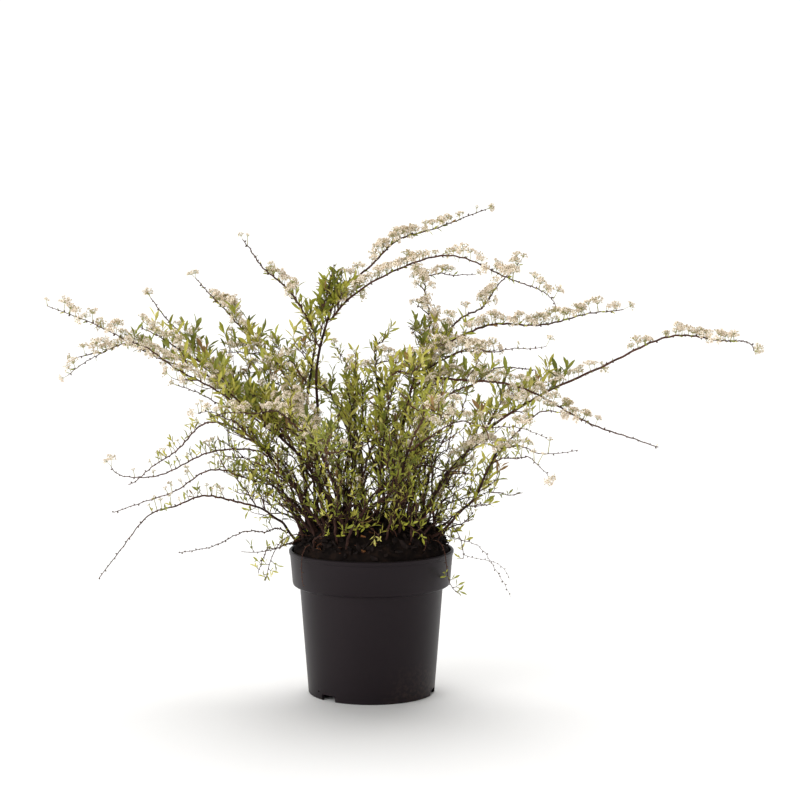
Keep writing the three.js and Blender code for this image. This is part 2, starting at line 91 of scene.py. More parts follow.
# The main stems: foot (heading, reach), top (heading, reach, height), rise and run
# (heading, elevation), and the radii at the foot and the top.
LIMB_COLUMNS = ("foot", "top", "rise", "run", "thick")
STEMS = {
    "long_left": ((220, 40), (183, 118, 312), (180, 70), (180, 46), (2.8, 1.8)),
    "left_upright": ((166, 77), (166, 66, 404), (180, 88), (350, 80), (2.4, 1.6)),
    "tall_upright": ((177, 52), (181, 48, 436), (180, 80), (0, 72), (2.6, 1.7)),
    "mid_trunk": ((150, 40), (112, 50, 318), (60, 82), (80, 70), (2.8, 1.9)),
    "right_thick": ((350, 28), (60, 12, 366), (90, 84), (165, 80), (3.4, 2.1)),
    "right_upright": ((30, 44), (34, 80, 392), (10, 75), (60, 86), (2.6, 1.6)),
    "right_leaning": ((320, 46), (352, 72, 396), (40, 80), (10, 42), (2.6, 1.6)),
    "long_right": ((350, 46), (358, 146, 315), (0, 55), (0, 35), (2.8, 1.8)),
    "low_right": ((334, 68), (330, 162, 288), (330, 22), (330, 62), (2.1, 1.5)),
    "low_left": ((188, 80), (200, 142, 224), (200, 44), (200, 16), (2, 1.5)),
    "left_mid": ((212, 72), (192, 128, 288), (190, 72), (185, 45), (2.4, 1.7)),
    "front_left": ((244, 64), (245, 128, 292), (245, 75), (245, 48), (2.4, 1.7)),
    "front_right": ((294, 60), (292, 120, 302), (292, 76), (292, 50), (2.4, 1.7)),
    "back_right": ((54, 60), (60, 128, 292), (60, 75), (60, 48), (2.4, 1.7)),
    "back": ((95, 60), (100, 120, 300), (100, 76), (100, 50), (2.6, 1.7)),
    "back_left": ((135, 64), (138, 136, 284), (138, 74), (138, 46), (2.4, 1.7)),
}
STEMS = {name: dict(zip(LIMB_COLUMNS, row)) for name, row in STEMS.items()}

# Sprays, under the stem that carries them: at is the share of the stem's length
# where the spray sits, tip is (heading, reach, height), rise and run are elevations
# at its two ends, and bow is how long each end holds its direction. A spray at the
# stem's end goes on along the stem, and has no rise of its own. leafy is the share
# of the length that bears leaves and side twigs. Each zone of bloom or of young
# flower heads is (from, to, heads for each node), under is the share of open heads
# that hang below, and end is the number of heads at the tip. shoots scales the side
# twigs, and spacing sets them apart. Upright leafy shoots stand candles apart,
# scaled by tall. thin scales the wand, leaf the leaves and dense the number of
# tufts. The sprays of FINE_STEMS are thin, with a few small leaves.
def wand(at, tip, rise, run, leafy, **growth):
    return dict(at=at, tip=tip, rise=rise, run=run, leafy=leafy, **growth)


SPRAYS = {
    "long_left": {
        "far_left": wand(
            1, (183, 370, 449), None, 20, 0.66, bow=(0.1, 0.49), shoots=0.6, candles=13, thin=0.8,
            under=0.4, bloom=[(0.2, 0.6, 0.7), (0.6, 0.76, 1.5), (0.76, 0.94, 1)],
            young=[(0.94, 1, 0.5)],
        ),
        "upper_left": wand(
            0.95, (163, 288, 418), 42, 20, 0.9, shoots=0.6, candles=13,
            bloom=[(0.3, 0.65, 0.4), (0.65, 1, 0.9)],
        ),
        "drooping_left": wand(
            0.9, (197, 355, 370), 36, -40, 0.5, bow=(0.6, 0.4), shoots=0.6, thin=0.75,
            bloom=[(0.25, 0.74, 0.7), (0.74, 0.88, 1.5), (0.92, 0.99, 0.7)], end=1,
        ),
        "feather_left": wand(
            0.86, (157, 292, 458), 44, 48, 0.74, shoots=0.4, candles=13, tall=0.9,
            bloom=[(0.2, 0.5, 0.5), (0.5, 0.8, 0.4)], young=[(0.8, 0.95, 0.6)], end=3,
        ),
    },
    "left_upright": {
        "high_left": wand(
            1, (215, 176, 532), None, 41, 0.4, bow=(0.13, 0.1), shoots=0.45, bloom=[(0.35, 0.7, 1.4)],
            young=[(0.72, 1, 0.35)], end=1,
        ),
        "zigzag_left": wand(
            0.64, (146, 263, 478), 56, 38, 0.62, bow=(0.33, 0.38), shoots=0.5, candles=12,
            bloom=[(0.3, 0.6, 0.5), (0.6, 0.84, 2)], end=2,
        ),
        "inner_left": wand(
            0.54, (172, 240, 357), 12, 18, 0.6, shoots=0.5, candles=16,
            bloom=[(0.1, 0.35, 0.9), (0.8, 1, 0.5)], young=[(0.7, 1, 0.6)], end=1,
        ),
    },
    "tall_upright": {
        "top_wand": wand(
            1, (46, 206, 557), None, 15, 0.15, bow=(0.25, 0.58), shoots=0.35,
            bloom=[(0.14, 0.3, 0.8), (0.3, 0.6, 1.5), (0.6, 0.86, 0.9)], young=[(0.86, 0.97, 0.6)],
            end=2,
        ),
        "top_arch": wand(
            0.985, (342, 217, 447), 53, -84, 0.16, bow=(0.6, 0.1), shoots=0.3, thin=0.8,
            bloom=[(0.04, 0.4, 1.9), (0.4, 0.7, 1), (0.7, 0.82, 2), (0.85, 0.97, 1.3)],
        ),
        "top_plume": wand(0.9, (205, 46, 498), 80, 72, 0.72, shoots=0.22, candles=9, tall=0.5),
    },
    "mid_trunk": {
        "mid_back": wand(
            1, (104, 205, 392), None, 15, 0.9, shoots=0.2, tall=0.3, dense=0.6, leaf=0.65, thin=0.55,
            bloom=[(0.1, 0.5, 0.2)], end=1,
        ),
        "mid_back_left": wand(
            0.8, (124, 175, 400), 46, 30, 0.6, shoots=0.3, tall=0.4, dense=0.6, bloom=[(0.4, 0.9, 0.3)],
        ),
    },
    "right_thick": {
        "centre_plume": wand(
            1, (80, 28, 412), None, 70, 0.7, shoots=0.4, candles=20, tall=0.5, dense=0.5,
        ),
        "centre_front": wand(
            0.86, (296, 130, 392), 58, 30, 1, shoots=0.4, candles=11, tall=0.8,
            bloom=[(0.5, 0.95, 0.2)],
        ),
    },
    "right_upright": {
        "flower_mast": wand(
            1, (62, 110, 487), None, 24, 0.3, bow=(0.6, 0.5), shoots=0.45, dense=0.6,
            bloom=[(0, 0.5, 1), (0.5, 1, 1.1)], end=2,
        ),
        "high_right": wand(
            0.95, (43, 252, 498), 48, 40, 0.18, shoots=0.3, tall=0.7,
            bloom=[(0.1, 0.45, 0.5), (0.5, 0.78, 1.3), (0.86, 1, 1.2)], end=1,
        ),
    },
    "right_leaning": {
        "straight_right": wand(
            1, (12, 310, 441), None, 10, 0.25, bow=(0.2, 0.2), shoots=0.4, tall=0.8,
            bloom=[(0, 0.42, 1.5), (0.42, 0.8, 1.6), (0.8, 0.97, 0.7)], end=1,
        ),
        "bare_right": wand(
            0.85, (343, 215, 408), 34, 15, 0.2, bow=(0.6, 0.37), shoots=0.3, thin=0.7,
            bloom=[(0, 0.35, 1.5), (0.35, 0.54, 1)], young=[(0.54, 1, 0.12)], end=1,
        ),
        "sloping_right": wand(
            0.77, (343, 336, 296), 49, -11, 0.5, bow=(0.23, 0.16), shoots=0.45, tall=0.8,
            bloom=[(0.1, 0.5, 1), (0.5, 0.74, 1.2)], young=[(0.74, 0.85, 0.2)],
        ),
    },
    "long_right": {
        "far_right": wand(
            1, (0, 439, 386), None, -84, 0.28, bow=(0.6, 0.1), shoots=0.55, candles=10, tall=0.85,
            dense=1.1, bloom=[(0.1, 0.42, 0.9), (0.52, 0.6, 1.4), (0.64, 0.93, 1.8), (0.95, 1, 0.8)],
            end=1,
        ),
        "leafy_right": wand(
            0.9, (14, 214, 372), 50, 50, 1, shoots=0.2, tall=0.5, bloom=[(0.2, 0.7, 0.7)],
        ),
    },
    "low_right": {
        "low_cluster": wand(
            1, (332, 261, 297), None, 16, 0.4, bow=(0.24, 0.58), bloom=[(0, 0.4, 0.7)],
            young=[(0.5, 0.9, 0.25)],
        ),
        "low_hook": wand(
            0.92, (320, 258, 266), 25, -40, 0.5, bloom=[(0.1, 0.4, 0.6)], young=[(0.4, 0.9, 0.25)],
            end=2,
        ),
        "low_bow": wand(0.96, (346, 259, 313), 53, -40, 0.5, bow=(0.6, 0.46), bloom=[(0.3, 0.9, 0.7)]),
        "trailing_right": wand(0.16, (322, 198, 130), 10, -60, 0.2, thin=0.45),
    },
    "low_left": {
        "low_arch": wand(1, (200, 321, 150), None, -51, 0.6, bow=(0.49, 0.6), young=[(0.1, 0.6, 0.65)]),
        "low_reach": wand(0.3, (218, 265, 189), 35, 2, 0.25, bow=(0.23, 0.57), thin=0.8),
        "trailing_left": wand(0.12, (229, 186, 160), -5, -60, 1),
    },
    "left_mid": {
        "inner_wave": wand(1, (207, 222, 333), None, -5, 0.6, young=[(0.2, 1, 0.7)], end=1),
        "left_wave": wand(
            0.95, (161, 311, 227), 39, -12, 0.75, bow=(0.57, 0.22), young=[(0.3, 0.85, 0.85)],
        ),
        "left_flat": wand(
            0.9, (190, 301, 278), 45, 66, 0.65, bow=(0.3, 0.28),
            young=[(0.2, 0.55, 0.75), (0.7, 1, 0.5)], end=2,
        ),
        "left_low": wand(
            0.72, (176, 303, 205), 9, -19, 0.65, bow=(0.4, 0.58), young=[(0.25, 0.7, 0.7)],
        ),
    },
    "front_left": {
        "front_left_arch": wand(
            1, (236, 296, 345), None, -10, 0.4, leaf=0.8, shoots=0.4, thin=0.7, dense=0.7,
            bloom=[(0.25, 0.55, 0.3), (0.55, 1, 0.5)],
        ),
        "front_arch": wand(
            0.92, (262, 300, 300), 42, -20, 0.9, leaf=0.75, shoots=0.6, thin=0.7,
            bloom=[(0.5, 0.9, 0.2)],
        ),
    },
    "front_right": {
        "front_bow": wand(
            1, (285, 305, 345), None, -12, 0.9, leaf=0.75, shoots=0.6, candles=16, thin=0.7,
            bloom=[(0.5, 0.9, 0.2)],
        ),
        "front_right_arch": wand(
            0.92, (311, 290, 320), 42, -15, 0.6, leaf=0.8, shoots=0.5, thin=0.6,
            bloom=[(0.2, 0.5, 0.6), (0.5, 0.9, 0.3)],
        ),
    },
    "back_right": {
        "back_right_arch": wand(
            1, (52, 335, 350), None, -10, 0.6, shoots=0.5, tall=0.5, bloom=[(0.4, 0.9, 0.4)],
        ),
        "back_right_bow": wand(0.92, (76, 325, 300), 42, -20, 0.6, bloom=[(0.4, 0.9, 0.7)]),
    },
    "back": {
        "back_arch": wand(
            1, (96, 330, 345), None, -12, 0.4, shoots=0.2, tall=0.3, dense=0.15,
            bloom=[(0.6, 0.9, 0.4)],
        ),
        "back_bow": wand(
            0.92, (118, 318, 350), 48, -5, 0.5, shoots=0.5, tall=0.6, bloom=[(0.4, 0.9, 0.7)],
        ),
    },
    "back_left": {
        "back_left_arch": wand(1, (140, 345, 372), None, 5, 0.6, bloom=[(0.4, 0.9, 0.7)]),
        "back_left_bow": wand(0.92, (128, 300, 285), 40, -25, 0.6, bloom=[(0.4, 0.9, 0.7)]),
    },
}
FINE_STEMS = ("left_mid", "low_left", "low_right")

# ---- Foliage and blossom ----
TURN = 137.5
FIRST_SHOOT = 16
SHOOT_SPACING = 50
SHOOT_LENGTH = 68
STEM_SHOOT_SPACING = 10
LEAF_LENGTH = 16
LEAF_HALF_WIDTH = 0.13
LEAF_FOLD = 0.45
LEAF_SPACING = 5.5
CANDLE_SPACING = 24
HEADS_EACH = 1.1
UMBEL_STALKS = (4, 8, 5, 11, 6, 9)
YOUNG_STALKS = (7, 9, 11, 6, 8, 10)
UMBEL_RADIUS = 6.6
FLORET_RADIUS = 2.3
YOUNG_UMBEL_RADIUS = 2.4
YOUNG_FLORET_RADIUS = 1.5
HANGING_HEADS = 0.1
THICKET_STEMS = 76
THICKET_REACH = 82
BARE_STEM = 0.48
# Radii at the foot and the tip: a tuft's shoot, a side twig, a twig of its own, a
# sprig, a flower head's stalk and a floret's stalk.
SHOOT_RADII = (0.5, 0.3)
SIDE_TWIG_RADII = (0.75, 0.3)
OFFSHOOT_RADII = (0.8, 0.35)
SPRIG_RADII = (0.6, 0.3)
STALK_RADII = (0.45, 0.35)
FLORET_STALK_RADII = (0.28, 0.22)
# Leaves of a tuft at a node, in shares of the spray's own leaf length.
NODE_LEAF = 0.85
# Tints of the shoots, and the running shares of all but the last of them. pale and dark are painted light
# and painted shade.
SHADES = ("fresh", "golden", "deep", "pale", "dark", "bronze")
SHADE_SHARES = (0.24, 0.44, 0.62, 0.77, 0.95)
SPRAY_TINTS = ("fresh", "golden", "deep")
STEM_TINTS = ("fresh", "deep", "golden")
RIM_SPRIGS = 15
DEAD_TWIGS = 50
DEAD_TWIG_REACH = 92
CHIP_REACH = 88
# A limb's key sets how it sways and turns. These are the first keys of each kind.
SPRAY_KEY = 20
OFFSHOOT_KEY = 100
YOUNG_STEM_KEY = 150
THICKET_KEY = 200
SPRIG_KEY = 400
STEM_TWIG_KEY = 500
DEAD_TWIG_KEY = 700

Place = namedtuple("Place", "point ahead lift cross")


# ---- Directions and paths ----

def draw(key, count):
    """A repeatable number from 0 to 1, for a limb's key and a count on it."""
    value = math.sin(key * 12.9898 + count * 78.233) * 43758.5453
    return value - math.floor(value)


def polar(heading, reach, height):
    angle = math.radians(heading)
    return np.array([reach * math.cos(angle), reach * math.sin(angle), height])


def aim(heading, elevation):
    angle = math.radians(elevation)
    return polar(heading, math.cos(angle), math.sin(angle))


def unit(vector):
    return vector / np.linalg.norm(vector)


def heading_of(start, end):
    return math.degrees(math.atan2(end[1] - start[1], end[0] - start[0]))


def mix(ends, share):
    return ends[0] + (ends[1] - ends[0]) * share


def square_to(direction):
    """A unit vector at a right angle to a direction, level where it can be."""
    across = np.cross(direction, UP)
    return unit(across) if np.linalg.norm(across) > 0.05 else np.array([1.0, 0.0, 0.0])


class Path:
    """A limb's course: its points, the distance along it and its level side direction."""

    def __init__(self, points, side):
        self.points = points
        steps = np.linalg.norm(np.diff(points, axis=0), axis=1)
        self.lengths = np.concatenate([[0.0], np.cumsum(steps)])
        self.length = self.lengths[-1]
        self.side = side
        tangents = np.gradient(points, axis=0)
        self.tangents = tangents / np.linalg.norm(tangents, axis=1)[:, None]

    def at(self, share):
        distance = share * self.length
        point, ahead = (
            np.array([np.interp(distance, self.lengths, rows[:, axis]) for axis in range(3)])
            for rows in (self.points, self.tangents)
        )
        ahead = unit(ahead)
        lift = unit(np.cross(ahead, self.side))
        return Place(point, ahead, lift, np.cross(ahead, lift))


def grow_path(start, rise, end, run, key, bow=BOW):
    """A limb leaves start along rise, sways a little, and reaches end along run."""
    span = np.linalg.norm(end - start)
    steps = max(8, round(span / PATH_STEP))
    share = np.linspace(0, 1, steps + 1)[:, None]
    back = 1 - share
    leave = start + rise * span * bow[0]
    arrive = end - run * span * bow[1]
    points = back**3 * start + 3 * back**2 * share * leave + 3 * back * share**2 * arrive + share**3 * end
    side = aim(heading_of(start, end) + 90, 0)
    sway = span * SWAY * np.sin(math.pi * share) ** 2
    points = points + side * sway * np.sin(8 * share + 6.28 * draw(key, 1))
    points = points + UP * sway * np.sin(11 * share + 6.28 * draw(key, 2))
    return Path(points, side)


def with_nodes(path):
    """The same course with the slight zigzag that a wand makes from node to node."""
    phase = path.lengths / NODE_SPACING
    kink = np.abs(phase % 2 - 1) - 0.5
    ease = np.clip(path.lengths / 20, 0, 1)
    offset = (ZIGZAG * 2 * kink * ease)[:, None]
    return Path(path.points + offset * path.side + 0.6 * offset[::-1] * UP, path.side)


def soil_height(x, y):
    share = min(math.hypot(x, y) / (COLLAR_TOP_RADIUS - WALL), 1)
    dome = (SOIL_CROWN - SOIL_EDGE) * (1 - share**SOIL_DOME_POWER)
    lumps = math.sin(x * 0.13 + 1) * math.cos(y * 0.11) + math.sin(x * 0.07 - y * 0.16)
    return SOIL_EDGE + dome + SOIL_LUMP * lumps * (1 - share**2)


def on_soil(heading, reach, depth=0):
    """A point at a depth under the top of the soil."""
    point = polar(heading, reach, 0)
    point[2] = soil_height(point[0], point[1]) - depth
    return point


def stem_path(stem, key):
    foot = on_soil(*stem["foot"], ROOT_DEPTH)
    return grow_path(foot, aim(*stem["rise"]), polar(*stem["top"]), aim(*stem["run"]), key)


def spray_path(stem, spray, key):
    """A spray's course and the point inside its stem where it is rooted."""
    seat = stem["path"].at(spray["at"])
    tip = polar(*spray["tip"])
    heading = heading_of(seat.point, tip)
    tip = tip - aim(heading, spray["run"]) * TIP_ALLOWANCE["end" in spray]
    if spray["at"] == 1:
        rise = seat.ahead
        start = seat.point + rise * GAP
    else:
        rise = aim(heading, spray["rise"])
        outward = unit(rise - np.dot(rise, seat.ahead) * seat.ahead)
        tilt = TWIG_RADIUS * math.sqrt(max(1 - np.dot(rise, outward) ** 2, 0))
        start = seat.point + outward * (mix(stem["thick"], spray["at"]) + tilt + GAP)
    path = grow_path(start, rise, tip, aim(heading, spray["run"]), key, spray.get("bow", BOW))
    return with_nodes(path), seat.point


def sideways(place, turn, lean, lift):
    """The direction of a side piece: turned round the limb, leaning ahead and up."""
    angle = math.radians(turn)
    around = place.lift * math.cos(angle) + place.cross * math.sin(angle)
    return unit(around + place.ahead * lean + UP * lift)


def stations(path, start, end, step):
    """Places a step apart along a path, each with its number and its share of the length."""
    for number, distance in enumerate(np.arange(start, end, step)):
        share = distance / path.length
        yield number, share, path.at(share)


# ---- Joined meshes of many small things ----

class Pile:
    """Gathers the triangles of many small pieces that become one joined mesh."""

    def __init__(self):
        self.points = []
        self.faces = []
        self.count = 0

    def add(self, points, faces):
        self.points.append(points)
        self.faces.append(faces + self.count)
        self.count += len(points)

    def add_tube(self, points, radii, sides):
        """A round limb along points, tapering through radii and closed at both ends."""
        points = np.asarray(points)
        radii = np.interp(np.linspace(0, 1, len(points)), np.linspace(0, 1, len(radii)), radii)
        ahead = np.gradient(points, axis=0)
        ahead /= np.linalg.norm(ahead, axis=1)[:, None]
        reference = square_to(unit(points[-1] - points[0]))
        across = reference - ahead * (ahead @ reference)[:, None]
        across /= np.linalg.norm(across, axis=1)[:, None]
        lift = np.cross(ahead, across)
        angles = np.arange(sides) * 2 * math.pi / sides
        cosines, sines = np.cos(angles)[None, :, None], np.sin(angles)[None, :, None]
        ring = cosines * across[:, None] + sines * lift[:, None]
        rings = points[:, None] + ring * radii[:, None, None]
        around = np.arange(sides)
        beyond = (around + 1) % sides
        faces = []
        for step in range(len(points) - 1):
            low, high = step * sides, (step + 1) * sides
            faces.append(np.stack([low + around, low + beyond, high + beyond], axis=1))
            faces.append(np.stack([low + around, high + beyond, high + around], axis=1))
        start, end = len(points) * sides, len(points) * sides + 1
        last = (len(points) - 1) * sides
        faces.append(np.stack([np.full(sides, start), beyond, around], axis=1))
        faces.append(np.stack([np.full(sides, end), last + around, last + beyond], axis=1))
        caps = np.array([points[0], points[-1] + ahead[-1] * radii[-1]])
        self.add(np.concatenate([rings.reshape(-1, 3), caps]), np.concatenate(faces))

    def make(self, name, finish, slot, smooth=True):
        """One mesh piece of everything in the pile, riding on the plant."""
        points = np.concatenate(self.points) * MM
        faces = np.concatenate(self.faces)
        mesh = bpy.data.meshes.new(name)
        mesh.vertices.add(len(points))
        mesh.vertices.foreach_set("co", points.ravel())
        mesh.loops.add(faces.size)
        mesh.loops.foreach_set("vertex_index", faces.ravel().astype(np.int32))
        mesh.polygons.add(len(faces))
        mesh.polygons.foreach_set("loop_start", np.arange(0, faces.size, 3, dtype=np.int32))
        mesh.polygons.foreach_set("use_smooth", np.full(len(faces), smooth))
        mesh.update(calc_edges=True)
        mesh.validate()
        piece = bpy.data.objects.new(name, mesh)
        bpy.context.collection.objects.link(piece)
        dress(piece, finish)
        return piece


def dress(piece, finish):
    """Gives a piece its finish and its place on the plant's one body."""
    piece.data.materials.clear()
    piece.data.materials.append(finish)
    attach(piece, "root")


# A leaf's stations between foot and tip: share of the length, share of the half width.
LEAF_STATIONS = ((0.24, 0.6), (0.56, 1), (0.82, 0.62))


def leaf_template():
    """A lance-shaped leaf, folded along its midrib: along, across and fold of each point."""
    rows = [(0.0, 0.0)]
    for along, width in LEAF_STATIONS:
        rows += [(along, -width), (along, 0.0), (along, width)]
    rows.append((1.0, 0.0))
    faces = [(0, 2, 1), (0, 3, 2)]
    for low in (1, 4):
        high = low + 3
        for side in (0, 1):
            a, b, c, d = low + side, low + side + 1, high + side + 1, high + side
            faces += [(a, b, c), (a, c, d)]
    faces += [(7, 8, 10), (8, 9, 10)]
    return np.array(rows), np.array(faces)


def pile_leaves(rows):
    """Lays the leaf template along every row (root, direction, face, length, width, curl)."""
    template, faces = leaf_template()
    roots, ahead, face = (np.array([row[index] for row in rows]) for index in range(3))
    length, width, curl = (np.array([row[index] for row in rows])[:, None] for index in range(3, 6))
    across = np.cross(ahead, face)
    across /= np.linalg.norm(across, axis=1)[:, None]
    face = np.cross(across, ahead)
    along, aside = template[:, 0][None, :], template[:, 1][None, :]
    fold = np.abs(aside) * width * LEAF_FOLD - curl * length * along**2
    points = (
        roots[:, None]
        + ahead[:, None] * (along * length)[..., None]
        + across[:, None] * (aside * width)[..., None]
        + face[:, None] * fold[..., None]
    )
    pile = Pile()
    count = len(template)
    offsets = (np.arange(len(rows)) * count)[:, None, None]
    pile.add(points.reshape(-1, 3), (faces[None] + offsets).reshape(-1, 3))
    return pile


# ---- Blossom ----

# A petal's outline, as (outwards, sideways) in shares of the floret's radius.
PETAL_OUTLINE = ((0.14, 0), (0.56, -0.36), (0.96, -0.22), (0.96, 0.22), (0.56, 0.36))
PETAL_FACES = ((0, 1, 2), (0, 2, 3), (0, 3, 4))


def basis(direction, spin):
    """Three unit vectors, the last of them along the direction, spun about it."""
    first = square_to(direction)
    second = np.cross(direction, first)
    return np.array([
        first * math.cos(spin) + second * math.sin(spin),
        second * math.cos(spin) - first * math.sin(spin),
        direction,
    ])


def spindle(wide, middle, foot):
    """A four-sided spindle along +Z that ends at height 1: its points and faces."""
    ring = [(wide, 0, middle), (0, wide, middle), (-wide, 0, middle), (0, -wide, middle)]
    sides = [(side, (side + 1) % 4) for side in range(4)]
    faces = [(4, after, side) for side, after in sides] + [(5, side, after) for side, after in sides]
    return np.array([*ring, (0, 0, foot), (0, 0, 1)]), np.array(faces)


def add_closed_bud(parts, point, direction, radius):
    """A closed flower bud: a small pale green bead."""
    bead, faces = spindle(0.8, 0, -0.9)
    parts["hearts"].add(point + (bead * radius) @ basis(direction, 0), faces)


def add_floret(parts, point, direction, radius, cup, tint):
    """Five cupped petals round a green-gold heart, on a small green calyx."""
    axes = basis(direction, rng.uniform(0, 6.28))
    outline = np.array(PETAL_OUTLINE)
    for petal in range(5):
        angle = petal * math.radians(72) + rng.uniform(-0.12, 0.12)
        out = np.array([math.cos(angle), math.sin(angle)])
        flat = outline[:, :1] * out + outline[:, 1:] * np.array([-out[1], out[0]])
        height = cup * outline[:, 0] ** 2
        local = np.column_stack([flat, height]) * radius
        parts[tint].add(point + local @ axes, np.array(PETAL_FACES))
    ring = [(math.cos(a), math.sin(a)) for a in np.arange(5) * math.radians(72)]
    heart = np.array([(0.3 * x, 0.3 * y, 0.08) for x, y in ring] + [(0, 0, 0.3)]) * radius
    spokes = np.array([(i, (i + 1) % 5, 5) for i in range(5)])
    parts["hearts"].add(point + heart @ axes, spokes)
    calyx = np.array([(0.34 * x, 0.34 * y, 0.06) for x, y in ring] + [(0, 0, -0.42)]) * radius
    parts["calyxes"].add(point + calyx @ axes, spokes[:, ::-1])


def umbel_template(florets, floret_radius, stalk, reach):
    """A flat-topped flower head on +Z from the origin: points and faces for each kind of part."""
    parts = {kind: Pile() for kind in BLOSSOM_PARTS}
    hub = np.array([rng.uniform(-0.6, 0.6), rng.uniform(-0.6, 0.6), stalk])
    parts["stalks"].add_tube([np.zeros(3), hub], STALK_RADII, 3)
    for index in range(florets):
        spread = reach * math.sqrt((index + 0.4) / florets) * rng.uniform(0.85, 1.15)
        angle = index * TURN + rng.uniform(-18, 18)
        rise = reach * (0.85 - 0.35 * (spread / reach) ** 2) + rng.uniform(-1.5, 1.2)
        head = hub + polar(angle, spread, rise)
        facing = unit(polar(angle, 0.2 * spread, 1) + rng.uniform(-0.6, 0.6, 3))
        parts["stalks"].add_tube([hub, head - facing * 0.35 * floret_radius], FLORET_STALK_RADII, 3)
        if index % 5 == 4:
            add_closed_bud(parts, head, facing, floret_radius * 0.5)
        else:
            size = floret_radius * rng.uniform(0.85, 1.12)
            # Every third floret takes the darker petal colour, as painted shade.
            tint = "shaded" if index % 3 == 1 else "petals"
            add_floret(parts, head, facing, size, rng.uniform(0.1, 0.5), tint)
    return {kind: (np.concatenate(pile.points), np.concatenate(pile.faces)) for kind, pile in parts.items()}


# ---- What grows on the limbs, gathered by kind ----

leaves = {"fresh": [], "deep": [], "golden": [], "pale": [], "dark": [], "bronze": []}
umbels = []
buds = []
wands = Pile()
wood = Pile()
twigs = Pile()
shoots = Pile()


def add_leaf(tint, root, direction, face, length):
    across = np.cross(direction, face)
    face = unit(face + across * rng.uniform(-0.4, 0.4))
    width = length * LEAF_HALF_WIDTH * rng.uniform(0.85, 1.2)
    leaves[tint].append((root, direction, face, length, width, rng.uniform(-0.05, 0.22)))


def pick_tint(tint):
    """Half of the shoots have their spray's tint, and the others are some shades off."""
    if rng.random() < 0.5:
        return tint
    return SHADES[np.searchsorted(SHADE_SHARES, rng.random())]


def grow_tuft(root, direction, length, leaf_length, tint):
    """A short shoot that turns up, with leaves spaced round it and held close to it."""
    bend = root + direction * length * 0.5
    rise = unit(direction + UP * rng.uniform(0, 0.8) + rng.uniform(-0.35, 0.35, 3))
    tip = bend + rise * length * 0.5
    shoots.add_tube([root, bend, tip], SHOOT_RADII, 3)
    axes = basis(rise, rng.uniform(0, 6.28))
    count = 2 + round(length / LEAF_SPACING)
    shade = pick_tint(tint)
    for index in range(count):
        share = 0.25 + 0.75 * (index + 1) / count
        place = root + (bend - root) * min(2 * share, 1) + (tip - bend) * max(2 * share - 1, 0)
        angle = math.radians(index * TURN)
        out = axes[0] * math.cos(angle) + axes[1] * math.sin(angle)
        lean = unit(rise * (0.55 + 0.55 * share) + out * rng.uniform(0.4, 1.15) + UP * 0.1)
        size = leaf_length * (0.6 + 0.4 * share) * rng.uniform(0.75, 1.15)
        add_leaf(shade, place, lean, unit(np.cross(np.cross(lean, rise), lean) + 0.01 * UP), size)


def grow_umbel(point, direction, kind="open", size=1.0):
    umbels.append((point, direction, kind, size, rng.uniform(0, 6.28), rng.integers(len(UMBEL_STALKS))))


def how_many(rate):
    """A whole number that comes out at the given rate on average."""
    return int(rate + rng.random())


def zone_rate(spray, kind, share):
    return sum(rate for low, high, rate in spray.get(kind, ()) if low <= share <= high)


def grow_heads(place, rate, under=HANGING_HEADS):
    """Open flower heads at a node, most of them on the upper side, with a leaflet each."""
    heads = how_many(rate * HEADS_EACH)
    for _ in range(heads):
        flank = rng.choice((-1, 1))
        swing = flank * (rng.uniform(80, 150) if rng.random() < under else rng.uniform(0, 65))
        root = place.point + place.ahead * rng.uniform(-3.5, 3.5)
        direction = sideways(place, swing, rng.uniform(-0.3, 0.6), 0.7)
        grow_umbel(root, direction, size=rng.uniform(0.7, 1.1))
        leaf = sideways(place, swing + rng.choice((-1, 1)) * rng.uniform(40, 120), 0.7, 0.1)
        add_leaf(pick_tint("deep"), place.point, leaf, place.ahead, rng.uniform(5, 9))
    return heads


def grow_node(place, turn, spray, share, tint, leaf_length):
    """One node of a wand: a bud, and leaves or flower heads as the spray has them there."""
    buds.append((place.point, sideways(place, turn + 180, 0.6, 0.1), rng.uniform(2.4, 3.8)))
    opened = grow_heads(place, zone_rate(spray, "bloom", share), spray.get("under", HANGING_HEADS))
    for _ in range(how_many(zone_rate(spray, "young", share) * 0.8)):
        direction = sideways(place, rng.uniform(-55, 55), 0.3, 0.8)
        grow_umbel(place.point, direction, "young", rng.uniform(0.85, 1.25))
    if share <= spray["leafy"] and rng.random() < (0.4 if opened else 0.8) * spray.get("dense", 1):
        direction = sideways(place, turn, 0.7, 0.8)
        grow_tuft(place.point, direction, rng.uniform(3, 11), leaf_length * NODE_LEAF, tint)
    elif rng.random() < 0.3:
        direction = sideways(place, turn, 1, 0.3)
        add_leaf(pick_tint("deep"), place.point, direction, place.ahead, rng.uniform(3, 6))


